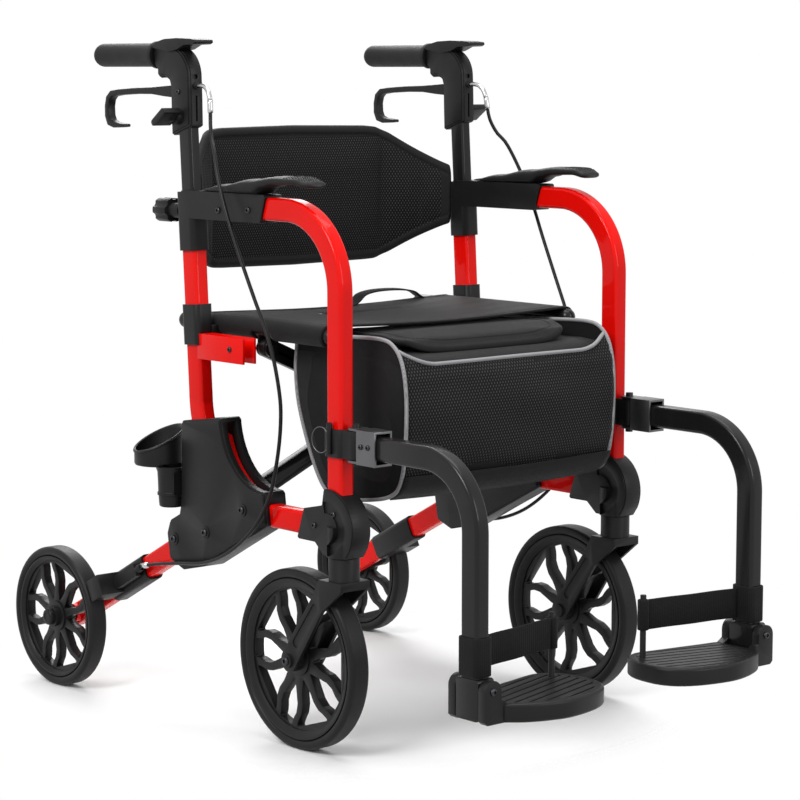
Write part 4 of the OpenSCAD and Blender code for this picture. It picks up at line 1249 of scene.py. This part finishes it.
class ROLLATOR_OT_backrest(bpy.types.Operator):
    """Pads the backrest by inflating its cloth between its seams, and sews its border"""

    bl_idname = "rollator.backrest"
    bl_label = "Backrest"

    def execute(self, context):
        half = [(x, y, 0) for x, y in BACK_PLAN]
        line, _ = smooth_path(half + [(x, -y, 0) for x, y, _ in reversed(half[:-1])], 0.0052)
        rings, sewn = [], set()
        for i, p in enumerate(line):
            before, after = neighbours(line, i, False)
            way = (after - before).normalized()
            ring, held = back_ring(p, Vector((way.y, -way.x, 0)), abs(p.y))
            sewn.update(i * len(ring) + k for k in held)
            rings.append(ring)
        count = len(rings[0])
        pad = add_mesh("backrest_pad", *loft(rings), "back")
        unroll(pad, line, count)
        ends = BACK_HELD_ENDS * count
        inflate(pad, sewn.union(range(ends), range(len(rings) * count - ends, len(rings) * count)))
        lift = Vector((0.0004, 0, 0))
        seams = [[pad.data.vertices[i * count + k].co + lift
                  for i in range(BACK_HELD_ENDS, len(rings) - BACK_HELD_ENDS)]
                 for k in (BACK_SEAM, count // 2 - 1 - BACK_SEAM)]
        finer = pad.modifiers.new("smooth", "SUBSURF")
        finer.levels = finer.render_levels = 1
        flatten_modifiers(pad)
        smooth(pad.data)
        rows = stitches("backrest_stitches", seams)
        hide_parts("backrest")
        for piece in (pad, rows):
            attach(piece, "right_frame")
            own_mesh(piece)
        return {"FINISHED"}


# Footrests

FOOT_X = 0.437
STRAP_LOW = 0.155
STRAP_HIGH = 0.203
STRAP_T = 0.0026
STRAP_RUN_T = 0.0028
STRAP_TAPER = 0.004
# Half sizes of the loop round the footrest tube, and the rounding of its corners
STRAP_HALF = (0.0170, 0.0130)
STRAP_CORNER = 0.0065
STRAP_RUN = [(0.431, -0.2315, 0), (0.428, -0.222, 0), (0.422, -0.196, 0), (0.417, -0.158, 0),
             (0.409, -0.120, 0), (0.4045, -0.0875, 0)]
STRAP_POST = (0.402, -0.082)
STRAP_POST_R = 0.0062
# The footplate's rim in plan, from the front of the hinge round to its rear
PLATE_EDGE = [(0.458, -0.2265), (0.467, -0.2262), (0.4755, -0.2215), (0.488, -0.206), (0.499, -0.180),
              (0.5053, -0.150), (0.502, -0.118), (0.493, -0.088), (0.478, -0.066), (0.458, -0.055),
              (0.436, -0.053), (0.412, -0.056), (0.392, -0.066), (0.380, -0.082), (0.377, -0.098),
              (0.3834, -0.131), (0.3895, -0.163), (0.396, -0.196), (0.4005, -0.2205), (0.4060, -0.2262),
              (0.416, -0.2265)]
PLATE_MIDDLE_Z = 0.1115
RIM_HALF_HIGH = 0.0118
RIM_OUT = 0.0010
RIM_IN = 0.0065
RIM_R = 0.0042


class ROLLATOR_OT_heel_straps(bpy.types.Operator):
    """Loops a heel strap from each footrest tube to the post of its plate"""

    bl_idname = "rollator.heel_straps"
    bl_label = "Heel straps"

    def execute(self, context):
        low, high = STRAP_LOW + STRAP_TAPER, STRAP_HIGH - STRAP_TAPER
        ring = []
        for qx, qy, start in ((1, 1, 0), (-1, 1, 90), (-1, -1, 180), (1, -1, 270)):
            for k in range(6):
                a = math.radians(start + 90 * k / 5)
                ring.append((FOOT_X + qx * (STRAP_HALF[0] - STRAP_CORNER) + STRAP_CORNER * math.cos(a),
                             -SIDE_Y + qy * (STRAP_HALF[1] - STRAP_CORNER) + STRAP_CORNER * math.sin(a)))
        run, _ = smooth_path(STRAP_RUN, 0.005)
        loop = [(p.x, p.y) for p in circle(STRAP_POST_R, 0, 20, STRAP_POST)]
        points, faces = join([upright_band(ring, STRAP_LOW, STRAP_HIGH, STRAP_T, True),
                              upright_band([(p.x, p.y) for p in run], low, high, STRAP_RUN_T),
                              upright_band(loop, low, high, STRAP_T, True)])
        for side, sign in SIDES:
            webbing = add_mesh(side + "_heel_webbing", mirrored(points, sign), faces, "webbing")
            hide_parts(side + "_heel_strap")
            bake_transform(webbing)
        return {"FINISHED"}


class ROLLATOR_OT_plate_rims(bpy.types.Operator):
    """Rounds the rim of each footplate"""

    bl_idname = "rollator.plate_rims"
    bl_label = "Footplate rims"

    def execute(self, context):
        corner = [math.radians(15 * i) for i in range(7)]
        out, high = RIM_OUT - RIM_R, RIM_HALF_HIGH - RIM_R
        section = [(out + RIM_R * math.cos(a), high + RIM_R * math.sin(a)) for a in corner]
        section += [(-RIM_IN, RIM_HALF_HIGH), (-RIM_IN, -RIM_HALF_HIGH)]
        section += [(out + RIM_R * math.sin(a), -high - RIM_R * math.cos(a)) for a in corner]
        line, _ = smooth_path([(x, y, PLATE_MIDDLE_Z) for x, y in PLATE_EDGE], 0.004)
        points, faces = loft(sweep(line, section))
        for side, sign in SIDES:
            rim = add_mesh(side + "_plate_rim", mirrored(points, sign), faces, "plastic", 40)
            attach(rim, side + "_plate")
        return {"FINISHED"}


# Arm pads

# Underside, top and half width along X. Heights are above PAD_Z, the bracket's top.
PAD_Z = 0.7188
PAD_LOW = [(-0.090, 0.0), (0.030, 0.0), (0.050, 0.009), (0.072, 0.013), (0.110, 0.014), (0.134, 0.0105),
           (0.143, 0.0135)]
PAD_HIGH = [(-0.090, 0.004), (-0.040, 0.011), (0.020, 0.0195), (0.080, 0.0248), (0.118, 0.0245),
            (0.136, 0.020), (0.143, 0.0145)]
PAD_WIDE = [(-0.090, 0.0132), (-0.040, 0.020), (0.030, 0.024), (0.108, 0.024), (0.128, 0.0205),
            (0.138, 0.0150), (0.143, 0.004)]
PAD_STATIONS = [-0.090, -0.0895, -0.088, *[-0.085 + 0.005 * i for i in range(43)], 0.128, 0.131, 0.134, 0.137,
                0.1395, 0.1415, 0.143]
PAD_INNER = 0.017
PAD_CROWN = 0.0012
PAD_SIDE_POWER = 0.62
DOT_PITCH = 0.0034
DOT_X = 0.0965
DOT_SIZE = 0.0021


def pad_reach(x, across, sign):
    """Half width of the pad at x, narrower on the side of the seat."""
    wide = between(PAD_WIDE, x)
    return min(wide, PAD_INNER) if across * sign < 0 else wide


def pad_ring(x, sign):
    """A section of the pad: a rounded box with a slight crown on its top."""
    low, high = between(PAD_LOW, x), between(PAD_HIGH, x)
    end = min(1.0, max(0.25, (x + 0.090) / 0.002))
    half = max(0.0004, (high - low) / 2) * (0.7 + 0.3 * end)
    ring = []
    for i in range(28):
        c, s = math.cos(math.tau * i / 28), math.sin(math.tau * i / 28)
        reach = pad_reach(x, c, sign)
        across = signed_power(c, PAD_SIDE_POWER) * reach
        up = signed_power(s, 0.5) * half
        if s > 0:
            up += (1 - (across / reach) ** 2) * PAD_CROWN * min(1, half / 0.004) - PAD_CROWN
        ring.append(Vector((x, sign * SIDE_Y + across, PAD_Z + (low + high) / 2 + up)))
    return ring


def pad_dots(sign):
    """Places of the grip dots on the top of the pad's front."""
    dots = []
    for row in range(12):
        x = DOT_X + DOT_PITCH * row
        low, high = between(PAD_LOW, x), between(PAD_HIGH, x)
        for column in range(-6, 7):
            across = DOT_PITCH * (column + 0.5 * (row % 2))
            reach = pad_reach(x, across, sign)
            if abs(across) < reach - 0.0035:
                rise = (1 - (abs(across) / reach) ** (2 / PAD_SIDE_POWER)) ** 0.25
                top = (low + high) / 2 + rise * (high - low) / 2 - (across / reach) ** 2 * PAD_CROWN
                dots.append(((x, sign * SIDE_Y + across, PAD_Z + top), (0, 0, 1)))
    return dots


class ROLLATOR_OT_arm_pads(bpy.types.Operator):
    """Shapes the soft arm pads with their rising front wing and its grip dots"""

    bl_idname = "rollator.arm_pads"
    bl_label = "Arm pads"

    def execute(self, context):
        for side, sign in SIDES:
            rings = [pad_ring(x, sign) for x in PAD_STATIONS]
            pad = add_mesh(side + "_arm_cushion", *loft(rings), "rubber", 50)
            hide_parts(side + "_arm_pad")
            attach(pad, side + "_frame")
            screws(side + "_arm_grip_dots", side + "_frame", pad_dots(sign), DOT_SIZE, "rubber",
                   "dot")
        return {"FINISHED"}


# Cane cup

CUP_SIDES = 56
CUP_MIDDLE = (-0.186, -0.262)
# The wall as (radius, height, None) or, at the slanting rim, (radius, None, height over the rim)
CUP_WALL = [(0.004, 0.3420, None), (0.0290, 0.3420, None), (0.0326, 0.3430, None), (0.0340, 0.3456, None),
            (0.0340, None, -0.0032), (0.0350, None, -0.0026), (0.0355, None, -0.0012), (0.0349, None, 0.0002),
            (0.0334, None, 0.0005), (0.0319, None, -0.0005), (0.0315, None, -0.0040), (0.0310, 0.3492, None),
            (0.0293, 0.3464, None), (0.004, 0.3458, None)]
CUP_RIM_Z = 0.3795
CUP_RIM_SLOPE = (0.115, 0.468)
NECK_MIDDLE = (-0.158, -0.262)
NECK_WALL = [(0.003, 0.2880), (0.0150, 0.2880), (0.0166, 0.2895), (0.0172, 0.2960), (0.0176, 0.3030),
             (0.0192, 0.3042), (0.0192, 0.3075), (0.0180, 0.3088), (0.0184, 0.3250), (0.0190, 0.3362),
             (0.0205, 0.3402), (0.0215, 0.3430), (0.003, 0.3432)]
NECK_BORE = [(0.0155, 0.292), (0.0155, 0.3466)]
CLIP_X = (-0.150, -0.1385)
CLIP_Z = 0.321
CLIP_HALF = (0.010, 0.015)
CLIP_SECTION = ((1, 0.85), (0.85, 1), (-0.85, 1), (-1, 0.85), (-1, -0.85), (-0.85, -1), (0.85, -1),
                (1, -0.85))


def cup_rings():
    """Rings of the cup's wall, from its foot over the rim to its floor."""
    rings = []
    for radius, z, lift in CUP_WALL:
        ring = circle(radius, 0, CUP_SIDES, CUP_MIDDLE)
        for p in ring:
            slant = sum(slope * (at - middle) for slope, at, middle in zip(CUP_RIM_SLOPE, p, CUP_MIDDLE))
            p.z = z if lift is None else CUP_RIM_Z + slant + lift
        rings.append(ring)
    return rings


class ROLLATOR_OT_cane_cup(bpy.types.Operator):
    """Shapes the cane cup with its slanting rim, its hollow neck and the clip to the gusset"""

    bl_idname = "rollator.cane_cup"
    bl_label = "Cane cup"

    def execute(self, context):
        clip = sweep([Vector((x, NECK_MIDDLE[1], CLIP_Z)) for x in CLIP_X],
                     [(CLIP_HALF[0] * a, CLIP_HALF[1] * b) for a, b in CLIP_SECTION])
        neck = turned(NECK_WALL, CUP_SIDES, NECK_MIDDLE)
        cup = add_mesh("cane_cup", *join([loft(cup_rings()), loft(neck), loft(clip)]), "plastic")
        bore = add_mesh("cane_bore", *loft(turned(NECK_BORE, CUP_SIDES, NECK_MIDDLE)), "plastic")
        cut = cup.modifiers.new("bore", "BOOLEAN")
        cut.operation = "DIFFERENCE"
        cut.solver = "EXACT"
        cut.use_self = True
        cut.object = bore
        flatten_modifiers(cup)
        bpy.data.objects.remove(bore)
        smooth(cup.data, 38)
        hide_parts("cane_holder")
        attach(cup, "right_frame")
        return {"FINISHED"}


# Screws and small metal

# Body, distance from the middle, head diameter and (x, z) places of the screws of each side
SIDE_SCREWS = {
    "gusset": ("frame", 0.2646, 0.0105, ((-0.079, 0.262), (0.003, 0.303), (-0.150, 0.244))),
    "arm": ("frame", 0.2585, 0.0088, ((-0.0507, 0.6948), (0.0140, 0.6975))),
    "hub": ("frame", 0.2595, 0.0080, ((0.149, 0.3016),)),
    "hub_deep": ("frame", 0.2571, 0.0080, ((0.185, 0.3195),)),
    "seat": ("frame", 0.2550, 0.0078, ((-0.033, 0.512),)),
    "foot": ("footrest", 0.2583, 0.0072, ((0.240, 0.412), (0.254, 0.4125))),
    "lever": ("handle", 0.2560, 0.0072, ((-0.1406, 0.849),)),
    "axle": ("caster", 0.2720, 0.0115, ((0.105, 0.119),)),
}
SCREW_SIZE = 0.0115
PLATE_SCREW = (0.470, 0.140)
PLATE_SCREW_SIZE = 0.0095
RING_X = 0.1658
RING_Y = 0.2625
RING_Z = 0.414
RING_HALF = (0.0150, 0.0165)
RING_LEAN = 0.0016
RING_WIRE_R = 0.0006
AXLE_X = -0.405
AXLE_Z = 0.100
AXLE_CAP = [(0.0114, 0.2992), (0.0114, 0.3042), (0.0108, 0.3058), (0.0094, 0.3066), (0.0066, 0.3068),
            (0.0060, 0.3059), (0.0010, 0.3059)]


class ROLLATOR_OT_screws(bpy.types.Operator):
    """Sets the screws of the brackets, gussets, clamps, levers, axles and plates"""

    bl_idname = "rollator.screws"
    bl_label = "Screws"

    def execute(self, context):
        share = context.scene.rollator_sizes.screw / SCREW_SIZE
        for side, sign in SIDES:
            for name, (body, y, size, places) in SIDE_SCREWS.items():
                spots = [((x, sign * y, z), (0, sign, 0)) for x, z in places]
                screws(side + "_" + name + "_screws", side + "_" + body, spots, size * share)
            x, z = PLATE_SCREW
            screws(side + "_plate_screw", side + "_plate", [((x, sign * SIDE_Y, z), (1, 0, 0))],
                   PLATE_SCREW_SIZE * share)
        return {"FINISHED"}


class ROLLATOR_OT_small_metal(bpy.types.Operator):
    """Adds the pull ring on each foot clamp and the cap on each rear axle"""

    bl_idname = "rollator.small_metal"
    bl_label = "Pull rings and axle caps"

    def execute(self, context):
        for side, sign in SIDES:
            ring = [Vector((RING_X + RING_HALF[0] * p.x, sign * (RING_Y - RING_LEAN * p.x),
                            RING_Z + RING_HALF[1] * p.y)) for p in circle(1, 0, 48)]
            pull = add_mesh(side + "_pull_ring", *hoop(ring, round_section(RING_WIRE_R, 8)), "steel")
            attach(pull, side + "_frame")
            upright = turned(AXLE_CAP, 36, (AXLE_X, AXLE_Z))
            rings = [[Vector((p.x, sign * p.z, p.y)) for p in level] for level in upright]
            cap = add_mesh(side + "_axle_cap", *loft(rings), "plastic", 40)
            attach(cap, side + "_frame")
        return {"FINISHED"}


class ROLLATOR_PT_panel(bpy.types.Panel):
    """Colours, sizes and pieces of the chair"""

    bl_idname = "ROLLATOR_PT_panel"
    bl_label = "Rollator transport chair"
    bl_space_type = "VIEW_3D"
    bl_region_type = "UI"
    bl_category = "Rollator"

    def draw(self, context):
        layout = self.layout
        for group in (context.scene.rollator_colours, context.scene.rollator_sizes):
            box = layout.box()
            for key in group.__annotations__:
                box.prop(group, key)
        for step in STEPS:
            layout.operator(step.bl_idname)


STEPS = (ROLLATOR_OT_stage, ROLLATOR_OT_frame, ROLLATOR_OT_cables, ROLLATOR_OT_seat, ROLLATOR_OT_bag,
         ROLLATOR_OT_backrest, ROLLATOR_OT_heel_straps, ROLLATOR_OT_plate_rims, ROLLATOR_OT_arm_pads,
         ROLLATOR_OT_cane_cup, ROLLATOR_OT_screws, ROLLATOR_OT_small_metal)
CLASSES = (RollatorColours, RollatorSizes, *STEPS, ROLLATOR_PT_panel)


def register():
    for item in CLASSES:
        bpy.utils.register_class(item)
    bpy.types.Scene.rollator_colours = bpy.props.PointerProperty(type=RollatorColours)
    bpy.types.Scene.rollator_sizes = bpy.props.PointerProperty(type=RollatorSizes)


def unregister():
    del bpy.types.Scene.rollator_sizes
    del bpy.types.Scene.rollator_colours
    for item in reversed(CLASSES):
        bpy.utils.unregister_class(item)


def main():
    register()
    make_finishes()
    bpy.ops.rollator.stage()
    bpy.ops.rollator.frame()
    bpy.ops.rollator.cables()
    bpy.ops.rollator.seat()
    bpy.ops.rollator.bag()
    bpy.ops.rollator.backrest()
    bpy.ops.rollator.heel_straps()
    bpy.ops.rollator.plate_rims()
    bpy.ops.rollator.arm_pads()
    bpy.ops.rollator.cane_cup()
    bpy.ops.rollator.screws()
    bpy.ops.rollator.small_metal()
    clear_fittings()


if __name__ == "__main__":
    main()
